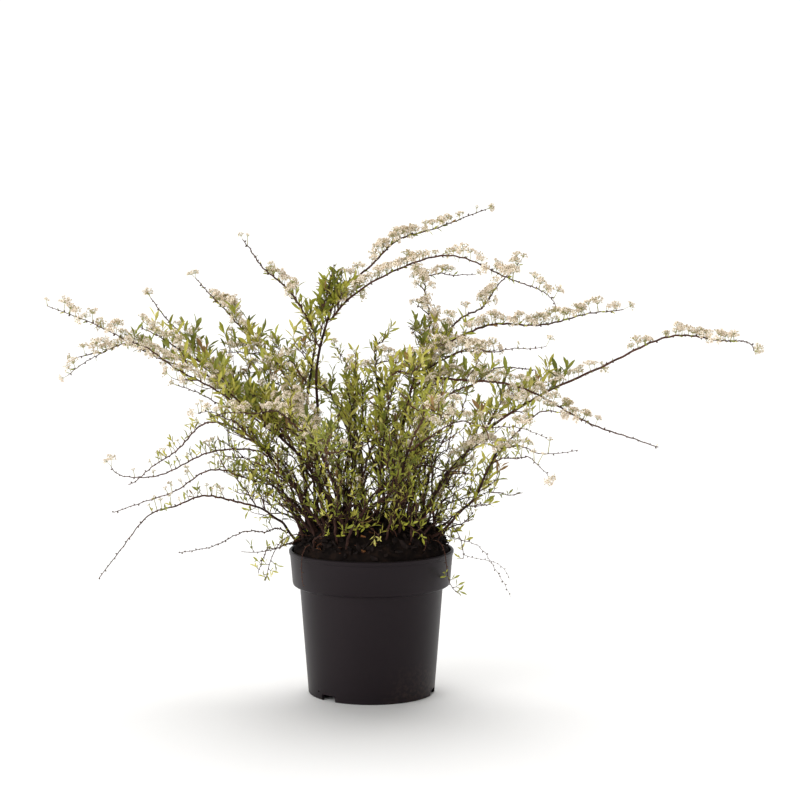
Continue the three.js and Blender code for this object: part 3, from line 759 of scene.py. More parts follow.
def grow_side_twig(place, direction, length, key, spray, share, tint, leaf_length):
    """A finer twig off a wand, with leafy shoots and the flower heads of its place."""
    end = place.point + direction * length * 0.95
    path = grow_path(place.point, direction, end, unit(direction + UP * 0.35), key)
    twigs.add_tube(path.points, SIDE_TWIG_RADII, 4)
    nodes = max(3, round(length / NODE_SPACING))
    rate = min(zone_rate(spray, "bloom", share), 0.8)
    young = zone_rate(spray, "young", share)
    for index in range(1, nodes + 1):
        spot = path.at(index / nodes)
        aside = sideways(spot, index * TURN + 360 * draw(key, 4), 0.9, 0.5)
        buds.append((spot.point, aside, rng.uniform(1.6, 2.4)))
        if index > 1 and rng.random() < rate:
            grow_umbel(spot.point, unit(aside + UP * 0.6), size=rng.uniform(0.7, 1))
        elif index > 1 and rng.random() < young:
            grow_umbel(spot.point, unit(aside + UP), "young", rng.uniform(0.8, 1.1))
        elif rng.random() < 0.8:
            grow_tuft(spot.point, aside, rng.uniform(2, 10), leaf_length * NODE_LEAF, tint)


def grow_candles(path, spray, tint, leaf_length, bare):
    """Upright leafy shoots along the upper side of a wand."""
    spacing = spray.get("candles", CANDLE_SPACING)
    for index, _, place in stations(path, bare, path.length * spray["leafy"], spacing):
        direction = sideways(place, 60 * (-1) ** index * rng.uniform(0.2, 1.4), 0.7, 0.9)
        length = rng.uniform(12, 26) * spray.get("tall", 1)
        grow_tuft(place.point, direction, length, leaf_length * rng.uniform(0.9, 1.3), tint)


def clothe(path, key, spray, tint, bare=FIRST_SHOOT):
    """Grows side twigs, then leaves, flower heads and buds node by node along a wand."""
    leaf_length = LEAF_LENGTH * spray.get("leaf", 1)
    shoot_length = SHOOT_LENGTH * spray.get("shoots", 1)
    spacing = spray.get("spacing", SHOOT_SPACING)
    for count, share, place in stations(path, bare, path.length * spray["leafy"], spacing):
        direction = sideways(place, 360 * draw(key, 3) + count * TURN, 0.8, 0.5)
        length = shoot_length * (0.75 + 0.5 * draw(key, 10 + count))
        grow_side_twig(place, direction, length, key * 7 + count, spray, share, tint, leaf_length)
    if spray.get("leaf", 1) > 0.7:
        grow_candles(path, spray, tint, leaf_length, bare)
    for index, share, place in stations(path, bare / 2, path.length, NODE_SPACING):
        grow_node(place, 360 * draw(key, 5) + index * TURN, spray, share, tint, leaf_length)
    grow_end(path.at(1), spray)


def clothe_fine(path, key, spray, tint):
    """A thin bare wand: buds, young flower heads on stalks and a few small leaf clusters."""
    leaf_length = LEAF_LENGTH * 0.6
    for index, share, place in stations(path, 6, path.length, NODE_SPACING * 0.8):
        turn = 360 * draw(key, 5) + index * TURN
        buds.append((place.point, sideways(place, turn, 0.6, 0.1), rng.uniform(2.2, 3.4)))
        grow_heads(place, zone_rate(spray, "bloom", share))
        for _ in range(how_many(zone_rate(spray, "young", share) * 0.7)):
            direction = sideways(place, rng.uniform(-45, 45), 0.2, 0.9)
            grow_umbel(place.point, direction, "young", rng.uniform(0.9, 1.4))
        if share < spray["leafy"] and rng.random() < 0.5:
            length = rng.uniform(2, 14)
            direction = sideways(place, rng.uniform(-120, 120), 0.4, 0.6)
            grow_tuft(place.point, direction, length, leaf_length, tint)
    grow_end(path.at(1), spray)


def grow_end(end, spray):
    for _ in range(spray.get("end", 0)):
        away = unit(end.ahead + UP * 0.4 + rng.uniform(-0.6, 0.6, 3))
        grow_umbel(end.point, away, size=rng.uniform(0.6, 0.85))


# The tints of the sprays that don't take theirs in turn from SPRAY_TINTS.
TINTS = {
    "top_plume": "fresh", "flower_mast": "golden", "centre_plume": "golden", "centre_front": "golden",
    "mid_back": "fresh", "mid_back_left": "deep", "low_arch": "deep", "low_reach": "deep",
    "trailing_left": "fresh", "trailing_right": "fresh",
}


def twig(at, heading, elevation, length, **growth):
    """A twig at a share of a limb's length. It is leafy all along where it has candles."""
    if "candles" in growth:
        growth["leafy"] = 1
    return dict(at=at, heading=heading, elevation=elevation, length=length, **growth)


# Twigs of their own off the sprays, and then off the stems.
OFFSHOOTS = {
    "drooping_left": [twig(0.84, 185, -10, 31, bloom=[(0.1, 1, 0.35)], end=1)],
    "flower_mast": [
        twig(0.86, 5, 3, 64, bloom=[(0.1, 0.5, 1), (0.5, 0.9, 0.3)], end=1),
        twig(0.62, 190, 45, 16, bloom=[(0.2, 1, 2)], end=1),
        twig(0.36, 200, 40, 20, bloom=[(0.3, 1, 1.6)], end=1),
        twig(0.1, 190, 35, 30, candles=30, bloom=[(0.3, 0.8, 0.8)]),
    ],
    "zigzag_left": [
        twig(0.76, 0, -14, 20, bloom=[(0, 1, 2)], end=1),
        twig(0.37, 186, 6, 52, candles=10, bloom=[(0.2, 1, 1)], end=1),
        twig(0.26, 188, -6, 46, candles=10, bloom=[(0.5, 1, 0.6)]),
    ],
    "centre_plume": [
        twig(0.8, 10, 20, 10, candles=8),
        twig(0.28, 340, 6, 48, bloom=[(0.1, 1, 1.1)], end=1),
        twig(0.06, 195, 20, 22, bloom=[(0.2, 1, 1)], end=1),
    ],
    "top_arch": [
        twig(0.02, 20, 80, 34, candles=6),
        twig(0.04, 290, 55, 26, candles=6),
    ],
}
STEM_TWIGS = {
    "tall_upright": [
        twig(0.93, 40, 72, 34, candles=9),
        twig(0.96, 160, 80, 30, candles=9),
        twig(0.84, 200, 60, 30, candles=10),
    ],
    "left_upright": [
        twig(0.88, 190, 50, 34, candles=12, bloom=[(0.5, 1, 0.4)]),
        twig(0.78, 160, 48, 60, candles=15, bloom=[(0.5, 1, 0.5)]),
        twig(0.66, 190, 42, 68, candles=18, bloom=[(0.5, 1, 0.5)]),
        twig(0.54, 200, 40, 60, candles=20),
    ],
    "long_left": [
        twig(0.9, 150, 66, 62, candles=10, bloom=[(0.6, 1, 0.5)]),
        twig(0.8, 200, 62, 58, candles=10),
    ],
    "right_upright": [
        twig(0.94, 200, 62, 44, candles=13, bloom=[(0.3, 0.8, 0.5)]),
        twig(0.86, 280, 45, 40, candles=14, bloom=[(0.2, 1, 1)]),
    ],
    "right_leaning": [
        twig(0.9, 320, 40, 40, candles=12, bloom=[(0, 1, 1)], end=2),
        twig(0.92, 352, 10, 84, bloom=[(0, 1, 1.2)], end=2),
        twig(0.7, 340, 30, 60, candles=16, bloom=[(0.4, 1, 1)]),
    ],
    "long_right": [
        twig(0.86, 350, 60, 44, candles=8),
        twig(0.7, 20, 62, 44, candles=10),
        twig(0.46, 340, 4, 40, candles=20),
        twig(0.78, 335, -12, 30, bloom=[(0.2, 1, 1.8)], end=3),
    ],
    "low_right": [
        twig(0.62, 15, 34, 30, candles=9),
        twig(0.46, 350, 8, 30, candles=15),
    ],
    "low_left": [
        twig(0.8, 190, 70, 50, candles=13),
        twig(0.95, 180, 55, 46, candles=12),
    ],
    "left_mid": [
        twig(0.85, 180, 52, 54, candles=16),
        twig(0.95, 170, 30, 60, candles=12),
    ],
}


def grow_sprays():
    """Every spray on its stem, by the same rule as the solids, carried to finer twigs."""
    key = SPRAY_KEY
    for stem_name, group in SPRAYS.items():
        fine = stem_name in FINE_STEMS
        for name, spray in group.items():
            path, root = spray_path(STEMS[stem_name], spray, key)
            radii = FINE_WAND_RADII if fine else WAND_RADII
            thick = min(path.length / 300 + 0.4, 1.15) * spray.get("thin", 1)
            wands.add_tube(np.vstack([root, path.points]), [radius * thick for radius in radii], 5)
            tint = TINTS.get(name, SPRAY_TINTS[key % 3])
            (clothe_fine if fine else clothe)(path, key, spray, tint)
            for count, plan in enumerate(OFFSHOOTS.get(name, ())):
                grow_offshoot(path, plan, OFFSHOOT_KEY + key + 40 * count)
            key += 1


def grow_offshoot(path, plan, key):
    """A thin twig off a limb, with leafy shoots or flower heads along it."""
    place = path.at(plan["at"])
    direction = aim(plan["heading"], plan["elevation"])
    end = place.point + direction * plan["length"]
    course = with_nodes(grow_path(place.point, unit(direction + UP * 0.3), end, direction, key))
    twigs.add_tube(course.points, OFFSHOOT_RADII, 4)
    if "leafy" in plan:
        clothe(course, key, dict(plan, shoots=0.25, leaf=0.95), SPRAY_TINTS[key % 3], 8)
    else:
        clothe_fine(course, key, dict(plan, leafy=0), "fresh")


# Young stems between the main ones: foot (heading, reach), top (heading, reach,
# height), rise and run (heading, elevation), the bare length at the foot, and the
# row of THICKET that clothes them.
YOUNG_STEMS = [
    ((335, 60), (0, 108, 330), (20, 84), (10, 48), 90, 0),
    ((172, 12), (150, 12, 266), (100, 80), (90, 70), 40, 2),
    ((185, 22), (150, 24, 270), (90, 85), (120, 65), 40, 0),
    ((190, 66), (184, 84, 300), (180, 78), (170, 84), 70, 2),
    ((176, 60), (170, 78, 320), (190, 80), (170, 78), 80, 0),
    ((200, 52), (187, 120, 296), (175, 68), (180, 25), 60, 2),
    ((198, 60), (190, 122, 250), (180, 52), (190, 38), 50, 0),
    ((205, 66), (196, 128, 240), (190, 42), (190, 36), 50, 2),
    ((350, 20), (20, 60, 290), (350, 80), (20, 70), 50, 0),
    ((344, 58), (12, 74, 276), (20, 84), (10, 70), 60, 2),
    ((10, 70), (6, 118, 262), (350, 80), (10, 40), 40, 0),
    ((20, 60), (14, 132, 290), (20, 70), (10, 50), 60, 2),
    ((186, 70), (184, 176, 296), (180, 66), (180, 30), 60, 0),
    ((210, 66), (196, 172, 262), (190, 62), (190, 10), 55, 2),
    ((168, 74), (172, 168, 270), (175, 58), (180, 25), 60, 0),
    ((176, 70), (178, 150, 232), (180, 50), (180, 20), 45, 2),
    ((190, 62), (188, 160, 318), (185, 72), (180, 35), 70, 0),
    ((160, 66), (160, 150, 300), (165, 68), (165, 35), 70, 2),
    ((222, 66), (216, 150, 276), (215, 66), (215, 30), 60, 0),
    ((215, 50), (205, 112, 346), (200, 80), (190, 40), 90, 4),
    ((235, 54), (216, 120, 340), (220, 80), (170, 40), 90, 4),
    ((330, 62), (338, 140, 300), (335, 72), (340, 30), 90, 4),
    ((300, 40), (318, 96, 318), (310, 80), (320, 30), 90, 4),
    ((350, 36), (350, 92, 372), (350, 84), (350, 50), 110, 4),
    ((280, 36), (300, 46, 352), (290, 84), (60, 70), 100, 5),
    ((80, 30), (350, 30, 366), (0, 84), (0, 70), 110, 5),
    ((250, 40), (330, 22, 358), (300, 84), (40, 70), 100, 5),
    ((20, 30), (10, 52, 368), (0, 86), (30, 70), 110, 5),
    ((140, 40), (160, 30, 352), (150, 84), (150, 70), 100, 5),
    ((300, 62), (345, 62, 344), (320, 84), (0, 60), 90, 5),
    ((200, 30), (200, 12, 362), (200, 86), (120, 70), 110, 5),
    ((210, 60), (202, 100, 352), (200, 80), (150, 40), 100, 4),
    ((230, 34), (200, 16, 364), (210, 84), (60, 70), 120, 5),
    ((320, 24), (260, 22, 368), (300, 86), (20, 70), 110, 5),
]

# How the young stems are clothed, by the same names as the sprays.
THICKET = [
    dict(leafy=1, leaf=0.58, shoots=0.5, spacing=22, dense=0.7, young=[(0.4, 1, 0.1)]),
    dict(leafy=1, leaf=0.7, shoots=0.55, spacing=26, dense=0.75, bloom=[(0.6, 1, 0.03)]),
    dict(leafy=1, leaf=0.6, shoots=0.45, spacing=21, dense=0.75, bloom=[(0.5, 1, 0.04)]),
    dict(leafy=1, leaf=0.7, shoots=0.6, spacing=26, dense=0.75, bloom=[(0.7, 1, 0.06)]),
    dict(leafy=0.8, leaf=0.6, shoots=0.6, bloom=[(0.6, 0.8, 1), (0.8, 1, 1.7)], end=3),
    dict(leafy=1, leaf=0.9, shoots=0.5, candles=12, tall=0.7, dense=0.9),
]


def grow_young_stem(foot, top, rise, run, bare, kind, key):
    """One thin stem out of the soil, bare below and leafy above."""
    path = with_nodes(grow_path(foot, rise, top, run, key))
    wood.add_tube(path.points, (rng.uniform(1.3, 2.5), rng.uniform(0.8, 1.2), 0.35), 5)
    clothe(path, key, THICKET[kind], STEM_TINTS[key % 3], bare)


def grow_thicket():
    """The young stems that show, and many more all through the plant."""
    for key, (foot, top, rise, run, bare, kind) in enumerate(YOUNG_STEMS, YOUNG_STEM_KEY):
        grow_young_stem(on_soil(*foot, ROOT_DEPTH), polar(*top), aim(*rise), aim(*run), bare, kind, key)
    for index in range(THICKET_STEMS):
        heading = index * TURN
        radius = THICKET_REACH * math.sqrt((index + 0.5) / THICKET_STEMS)
        foot = on_soil(heading + rng.uniform(-20, 20), radius, ROOT_DEPTH)
        reach = radius * rng.uniform(1.1, 1.5) + rng.uniform(0, 34)
        top = polar(heading + rng.uniform(-35, 35), reach, rng.uniform(240, 352) - 0.25 * reach)
        rise = aim(heading + rng.uniform(-90, 90), rng.uniform(58, 86))
        run = aim(heading + rng.uniform(-60, 60), rng.uniform(0, 70))
        bare = rng.uniform(50, 105) if foot[0] < -10 else rng.uniform(25, 75)
        grow_young_stem(foot, top, rise, run, bare, index % 4, THICKET_KEY + index)


def grow_dead_twigs():
    """Bare dark twigs that cross between the stems, low in the plant."""
    for index in range(DEAD_TWIGS):
        reach = DEAD_TWIG_REACH * math.sqrt((index + 0.5) / DEAD_TWIGS)
        start = polar(index * TURN, reach, rng.uniform(200, 280))
        direction = aim(rng.uniform(0, 360), rng.uniform(-15, 55))
        end = start + direction * rng.uniform(30, 90)
        if math.hypot(end[0], end[1]) > 88 and end[2] < 190:
            continue
        rise = unit(direction + UP * 0.5)
        path = with_nodes(grow_path(start, rise, end, direction, DEAD_TWIG_KEY + index))
        wood.add_tube(path.points, (rng.uniform(0.6, 1.1), 0.35), 4)
        for number, _, spot in stations(path, 5, path.length, 7):
            buds.append((spot.point, sideways(spot, 130 + 182 * number, 0.6, 0.1), 2.2))


def grow_rim_sprigs():
    """Short green sprigs that come out of the soil all round, inside the pot's rim."""
    for index in range(RIM_SPRIGS):
        heading = index * TURN
        foot = on_soil(heading, rng.uniform(35, 88), 2)
        direction = aim(heading + rng.uniform(-70, 70), rng.uniform(20, 70))
        end = foot + direction * rng.uniform(16, 42)
        path = grow_path(foot, direction, end, unit(direction + UP * 0.3), SPRIG_KEY + index)
        twigs.add_tube(path.points, SPRIG_RADII, 4)
        for step in range(1, 5):
            spot = path.at(step / 4)
            aside = sideways(spot, step * TURN, 0.8, 0.4)
            grow_tuft(spot.point, aside, rng.uniform(2, 6), LEAF_LENGTH * rng.uniform(0.45, 0.75), "fresh")


# Thin twigs that hang out over the pot's rim: the points that bend their course, the
# share of their nodes that has leaves, their tint, the bare share and the radius.
RIM_TWIGS = [
    ([(-58, -42, 176), (-78, -60, 190), (-81, -62, 164), (-76, -63, 134)], 0.12, "fresh", 0, 0.7),
    ([(60, -34, 180), (92, -52, 196), (84, -51, 156), (83, -53, 134), (99, -56, 125)],
     0.9, "fresh", 0.62, 0.7),
    ([(64, -32, 196), (92, -40, 216), (105, -44, 188), (105, -44, 163)], 0.6, "golden", 0.5, 0.7),
    ([(104, -44, 168), (122, -46, 158), (148, -48, 168), (157, -50, 140)], 0, "golden", 0, 0.3),
    ([(-66, -16, 182), (-90, -22, 186), (-104, -24, 162), (-148, -28, 168)], 0.2, "deep", 0, 0.7),
    ([(-64, -30, 184), (-96, -34, 198), (-112, -36, 180), (-120, -38, 136)], 0.4, "fresh", 0.3, 0.7),
    ([(-20, -52, 188), (-14, -70, 212), (2, -80, 206), (12, -86, 192)], 0.9, "fresh", 0, 0.7),
    ([(20, -50, 190), (30, -66, 216), (44, -78, 206), (56, -80, 196)], 0.9, "fresh", 0, 0.7),
    ([(-34, -50, 190), (-30, -66, 218), (-18, -76, 216), (-8, -80, 210)], 0.9, "golden", 0, 0.7),
    ([(66, 10, 184), (84, 8, 200), (90, -6, 196), (92, -14, 184)], 0.7, "fresh", 0, 0.7),
    ([(50, -40, 186), (58, -58, 196), (66, -62, 184), (60, -66, 176)], 0.1, "bronze", 0, 0.7),
]


def bend_through(points):
    """A smooth course from the first point to the last, bent towards those between."""
    share = np.linspace(0, 1, 25)[:, None]
    level = [np.array(point, float) * np.ones_like(share) for point in points]
    while len(level) > 1:
        level = [low + (high - low) * share for low, high in zip(level, level[1:])]
    return Path(level[0], square_to(np.array([1.0, 0.0, 0.0])))


def grow_rim_twigs():
    for bend, leafy, tint, bare, thick in RIM_TWIGS:
        path = bend_through(bend)
        twigs.add_tube(path.points, (thick, thick * 0.5), 4)
        for index, share, spot in stations(path, 6, path.length, 5):
            aside = sideways(spot, index * TURN, 0.6, 0.3)
            buds.append((spot.point, aside, rng.uniform(1.8, 2.8)))
            if rng.random() < leafy and share > bare:
                grow_tuft(spot.point, aside, rng.uniform(3, 10), LEAF_LENGTH * rng.uniform(0.5, 0.8), tint)


def grow_stems():
    """Works out the stems' courses, and grows short leafy shoots on their upper parts."""
    for key, stem in enumerate(STEMS.values()):
        path = stem["path"] = stem_path(stem, key)
        tint = STEM_TINTS[key % 3]
        for index, _, place in stations(path, path.length * BARE_STEM, path.length, STEM_SHOOT_SPACING):
            direction = sideways(place, index * TURN, 0.6, 0.4)
            root = place.point + direction
            grow_tuft(root, direction, rng.uniform(5, 20), LEAF_LENGTH * rng.uniform(0.5, 0.9), tint)


def grow_stem_twigs():
    for number, (name, group) in enumerate(STEM_TWIGS.items()):
        for count, plan in enumerate(group):
            grow_offshoot(STEMS[name]["path"], plan, STEM_TWIG_KEY + 20 * number + count)


# ---- Finishes ----

# Where the noise passes from the first shade to the last, and how deep it cuts.
SHADES_FROM = 0.32
SHADES_SPAN = 0.36
RELIEF_DEPTH = 0.0006
DUST_COLOUR = (0.055, 0.034, 0.026)


def plain_finish(name, colour, roughness, specular=0.3):
    """A finish of one even colour."""
    finish = bpy.data.materials.new(name)
    finish.use_nodes = True
    surface = finish.node_tree.nodes["Principled BSDF"].inputs
    surface["Base Color"].default_value = (*colour, 1)
    surface["Roughness"].default_value = roughness
    surface["Specular IOR Level"].default_value = specular
    return finish


def add_node(tree, kind, inputs=None, **settings):
    """A new shader node. Each input is linked from a socket or set to a constant."""
    node = tree.nodes.new(f"ShaderNode{kind}")
    for key, value in settings.items():
        setattr(node, key, value)
    for key, value in (inputs or {}).items():
        if isinstance(value, bpy.types.NodeSocket):
            tree.links.new(value, node.inputs[key])
        else:
            node.inputs[key].default_value = value
    return node


def add_range(tree, value, start, end, low=0.0, high=1.0, **settings):
    """A value that runs from start to end, made to run from low to high."""
    inputs = {"Value": value, "From Min": start, "From Max": end, "To Min": low, "To Max": high}
    return add_node(tree, "MapRange", inputs, **settings).outputs["Result"]


def add_product(tree, first, second):
    return add_node(tree, "Math", {0: first, 1: second}, operation="MULTIPLY").outputs["Value"]


def mottled_finish(name, colours, scale, roughness, bump, specular=0.3, stretch=(1, 1, 1)):
    """Several shades run into each other by noise on Object coordinates, with fine relief."""
    finish = plain_finish(name, colours[0], roughness, specular)
    tree = finish.node_tree
    surface = tree.nodes["Principled BSDF"].inputs
    place = add_node(tree, "TexCoord").outputs["Object"]
    drawn = add_node(tree, "Mapping", {"Scale": stretch, "Vector": place}).outputs["Vector"]
    noise_inputs = {"Scale": scale, "Detail": 5, "Roughness": 0.6, "Vector": drawn}
    grain = add_node(tree, "TexNoise", noise_inputs).outputs["Fac"]
    shades = add_node(tree, "ValToRGB", {"Fac": grain})
    ramp = shades.color_ramp.elements
    ramp[0].position = SHADES_FROM
    ramp[1].position = SHADES_FROM + SHADES_SPAN
    while len(ramp) < len(colours):
        ramp.new(0.5)
    for index, (element, colour) in enumerate(zip(ramp, colours)):
        element.position = SHADES_FROM + SHADES_SPAN * index / (len(colours) - 1)
        element.color = (*colour, 1)
    relief = add_node(tree, "Bump", {"Strength": bump, "Distance": RELIEF_DEPTH, "Height": grain})
    tree.links.new(shades.outputs["Color"], surface["Base Color"])
    tree.links.new(relief.outputs["Normal"], surface["Normal"])
    return finish


def add_dust(finish):
    """A warm sheen, and brown soil dust low down on the right of the pot."""
    tree = finish.node_tree
    surface = tree.nodes["Principled BSDF"].inputs
    surface["Specular Tint"].default_value = (1, 0.86, 0.92, 1)
    place = add_node(tree, "TexCoord").outputs["Object"]
    split = add_node(tree, "SeparateXYZ", {"Vector": place}).outputs
    specks = add_node(tree, "TexNoise", {"Scale": 260, "Detail": 8, "Vector": place}).outputs["Fac"]
    low = add_range(tree, split["Z"], 0.05, 0.0)
    grains = add_range(tree, specks, 0.42, 0.7)
    right = add_range(tree, split["X"], 0.01, 0.075)
    amount = add_product(tree, add_product(tree, low, grains), right)
    shades = surface["Base Color"].links[0].from_socket
    colours = {"Factor": amount, "A": shades, "B": (*DUST_COLOUR, 1)}
    dusty = add_node(tree, "Mix", colours, data_type="RGBA")
    tree.links.new(dusty.outputs["Result"], surface["Base Color"])


leaf_finishes = {
    "fresh": plain_finish("leaf_fresh_green", (0.355, 0.36, 0.044), 0.5),
    "deep": plain_finish("leaf_deep_green", (0.23, 0.25, 0.030), 0.5),
    "golden": plain_finish("leaf_golden_green", (0.48, 0.445, 0.072), 0.5),
    # pale is a lighter copy of the leaf green: painted light, dealt out at random by tuft
    "pale": plain_finish("leaf_painted_lit_green", (0.60, 0.555, 0.15), 0.5),
    # dark is a darker copy of the leaf green: painted shade, dealt out at random by tuft
    "dark": plain_finish("leaf_painted_shade_green", (0.118, 0.135, 0.014), 0.5),
    "bronze": plain_finish("leaf_bronze_tip", (0.30, 0.18, 0.06), 0.5),
}
green_finish = plain_finish("flower_stalk_green", (0.36, 0.34, 0.13), 0.6)
# Each kind of part of a flower head: its joined mesh and its finish.
BLOSSOM_PARTS = {
    "petals": ("petals", plain_finish("petal_cream_white", (0.95, 0.835, 0.685), 0.6)),
    # shaded is a darker, rosier copy of the cream petal colour: painted shade on every third floret, with
    # some of the flowers' own rosy tinge
    "shaded": ("petals_shaded", plain_finish("petal_rosy_painted_shade", (0.78, 0.65, 0.52), 0.6)),
    "hearts": ("flower_hearts", plain_finish("flower_heart_olive", (0.42, 0.33, 0.15), 0.6)),
    "stalks": ("flower_stalks", green_finish),
    "calyxes": ("flower_calyxes", green_finish),
}
bud_finish = plain_finish("bud_brown", (0.085, 0.052, 0.032), 0.6)
shoot_finish = mottled_finish("young_shoot", ((0.20, 0.17, 0.05), (0.16, 0.08, 0.04)), 60, 0.6, 0.1)
wand_finish = mottled_finish(
    "wand_bark", ((0.040, 0.015, 0.010), (0.115, 0.046, 0.030)), 120, 0.6, 0.5, 0.15
)
bark_finish = mottled_finish(
    "stem_bark", ((0.012, 0.006, 0.005), (0.034, 0.015, 0.011), (0.070, 0.033, 0.024)),
    160, 0.75, 0.9, 0.12, stretch=(1, 1, 0.3),
)
soil_finish = mottled_finish(
    "potting_soil", ((0.004, 0.003, 0.003), (0.010, 0.007, 0.006), (0.020, 0.012, 0.009)),
    90, 0.95, 1.0, 0.05,
)
# Bark chips: tint, two shades, specular level, count and sizes.
CHIPS = (
    ("dark", ((0.006, 0.005, 0.005), (0.022, 0.014, 0.012)), 0.1, 620, (2.5, 8)),
    ("red", ((0.05, 0.018, 0.010), (0.11, 0.045, 0.022)), 0.15, 110, (2, 5.5)),
    ("orange", ((0.22, 0.085, 0.03), (0.34, 0.15, 0.055)), 0.15, 14, (2, 5)),
)
pot_finish = mottled_finish(
    "black_pot_plastic", ((0.0086, 0.0064, 0.0076), (0.0106, 0.0078, 0.0092)), 9, 0.42, 0.06, 0.17
)
add_dust(pot_finish)


# ---- Pot and soil, raised ring by ring ----

def only(piece):
    bpy.ops.object.select_all(action="DESELECT")
    piece.select_set(True)
    bpy.context.view_layer.objects.active = piece


def apply_modifier(piece, kind, **settings):
    only(piece)
    modifier = piece.modifiers.new(kind.lower(), kind)
    for key, value in settings.items():
        setattr(modifier, key, value)
    bpy.ops.object.modifier_apply(modifier=modifier.name)


def turn_solid(name, profile, segments):
    """A closed round solid: a circle extruded and resized along (radius, height) pairs."""
    bpy.ops.object.select_all(action="DESELECT")
    radius, height = profile[0]
    bpy.ops.mesh.primitive_circle_add(
        vertices=segments, radius=radius * MM, fill_type="NOTHING", location=(0, 0, height * MM)
    )
    piece = bpy.context.object
    piece.name = piece.data.name = name
    bpy.ops.object.transform_apply(location=True, rotation=True, scale=True)
    bpy.ops.object.mode_set(mode="EDIT")
    bpy.ops.mesh.select_all(action="SELECT")
    for next_radius, next_height in profile[1:]:
        rise = (0, 0, (next_height - height) * MM)
        bpy.ops.mesh.extrude_region_move(TRANSFORM_OT_translate={"value": rise})
        share = next_radius / radius
        centre = (0, 0, next_height * MM)
        bpy.ops.transform.resize(value=(share, share, 1), center_override=centre)
        radius, height = next_radius, next_height
    bpy.ops.mesh.edge_face_add()
    bpy.ops.mesh.select_all(action="DESELECT")
    bpy.ops.mesh.select_non_manifold()
    bpy.ops.mesh.edge_face_add()
    bpy.ops.mesh.select_all(action="SELECT")
    bpy.ops.mesh.normals_make_consistent(inside=False)
    bpy.ops.object.mode_set(mode="OBJECT")
    return piece


def cut_block(piece, size, place, heading, rounding):
    """Cuts a rounded block out of a piece, such as a drain notch."""
    bpy.ops.object.select_all(action="DESELECT")
    bpy.ops.mesh.primitive_cube_add(size=1, location=[v * MM for v in place])
    block = bpy.context.object
    block.scale = [v * MM for v in size]
    block.rotation_euler = (0, 0, math.radians(heading))
    bpy.ops.object.transform_apply(location=True, rotation=True, scale=True)
    apply_modifier(block, "BEVEL", width=rounding * MM, segments=4)
    apply_modifier(piece, "BOOLEAN", operation="DIFFERENCE", object=block, solver="EXACT")
    bpy.data.objects.remove(block)


def model_pot():
    floor_top = FLOOR_LEVEL + FLOOR_THICKNESS
    pot = turn_solid("nursery_pot", [
        (PAD_RADIUS, 0),
        (PAD_RADIUS + WALL, FLOOR_LEVEL),
        (FOOT_RADIUS - FOOT_RING, FLOOR_LEVEL),
        (FOOT_RADIUS - FOOT_RING, 0),
        (FOOT_RADIUS - 0.8, 0),
        (FOOT_RADIUS, 1),
        (mix((FOOT_RADIUS, BODY_TOP_RADIUS), 0.5), BODY_TOP * 0.5),
        (BODY_TOP_RADIUS, BODY_TOP),
        (COLLAR_FOOT_RADIUS - 2.6, COLLAR_FOOT - 3.4),
        (COLLAR_FOOT_RADIUS - 0.8, COLLAR_FOOT - 2.2),
        (COLLAR_FOOT_RADIUS, COLLAR_FOOT),
        (COLLAR_TOP_RADIUS, POT_HEIGHT - LIP_HEIGHT - 0.6),
        (COLLAR_TOP_RADIUS + 0.8, POT_HEIGHT - LIP_HEIGHT),
        (RIM_RADIUS - 0.4, POT_HEIGHT - LIP_HEIGHT + 0.6),
        (RIM_RADIUS, POT_HEIGHT - LIP_HEIGHT + 1.6),
        (RIM_RADIUS, POT_HEIGHT - 1),
        (RIM_RADIUS - 1, POT_HEIGHT),
        (COLLAR_TOP_RADIUS - WALL + 0.8, POT_HEIGHT),
        (COLLAR_TOP_RADIUS - WALL, POT_HEIGHT - 0.8),
        (COLLAR_FOOT_RADIUS - WALL, COLLAR_FOOT + 1),
        (BODY_TOP_RADIUS - WALL, BODY_TOP + 1),
        (FOOT_RADIUS - WALL, floor_top),
    ], POT_SEGMENTS)
    for heading in NOTCH_HEADINGS:
        place = polar(heading, FOOT_RADIUS, 0)
        cut_block(pot, (NOTCH_DEPTH, NOTCH_WIDTH, 2 * NOTCH_HEIGHT), place, heading, 1.8)
    slit = polar(SLIT_HEADING, mix((FOOT_RADIUS, BODY_TOP_RADIUS), SLIT_HEIGHT / BODY_TOP), SLIT_HEIGHT)
    cut_block(pot, (2.4, 3.6, 2), slit, SLIT_HEADING, 0.6)
    only(pot)
    bpy.ops.object.shade_smooth_by_angle(angle=math.radians(32))
    dress(pot, pot_finish)
    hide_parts("pot")


def model_soil():
    """The root ball, with a lumpy top that is raised to the mound's height."""
    edge = COLLAR_TOP_RADIUS - WALL - 0.9
    floor = FLOOR_LEVEL + FLOOR_THICKNESS + GAP
    rings = 30
    profile = [
        (FOOT_RADIUS - WALL - 0.9, floor),
        (BODY_TOP_RADIUS - WALL - 0.6, BODY_TOP + 1),
        (COLLAR_FOOT_RADIUS - WALL - 0.6, COLLAR_FOOT + 2),
        (edge, SOIL_EDGE - 4),
    ]
    profile += [(edge * (1 - step / rings) + 1, SOIL_EDGE - 2) for step in range(1, rings)]
    soil = turn_solid("soil_mound", profile, SOIL_SEGMENTS)
    for vertex in soil.data.vertices:
        x, y, z = vertex.co / MM
        if z > SOIL_EDGE - 3:
            coarse = noise.fractal(Vector((x, y, 0)) * 0.06, 1.0, 2.0, 3)
            fine = noise.fractal(Vector((x, y, 9)) * 0.22, 1.0, 2.0, 3)
            fade = 1 - (math.hypot(x, y) / edge) ** 8
            vertex.co.z = (soil_height(x, y) - 2 + (4.5 * coarse + 2.2 * fine) * fade) * MM
    only(soil)
    bpy.ops.object.shade_smooth_by_angle(angle=math.radians(50))
    dress(soil, soil_finish)
    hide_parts("soil")


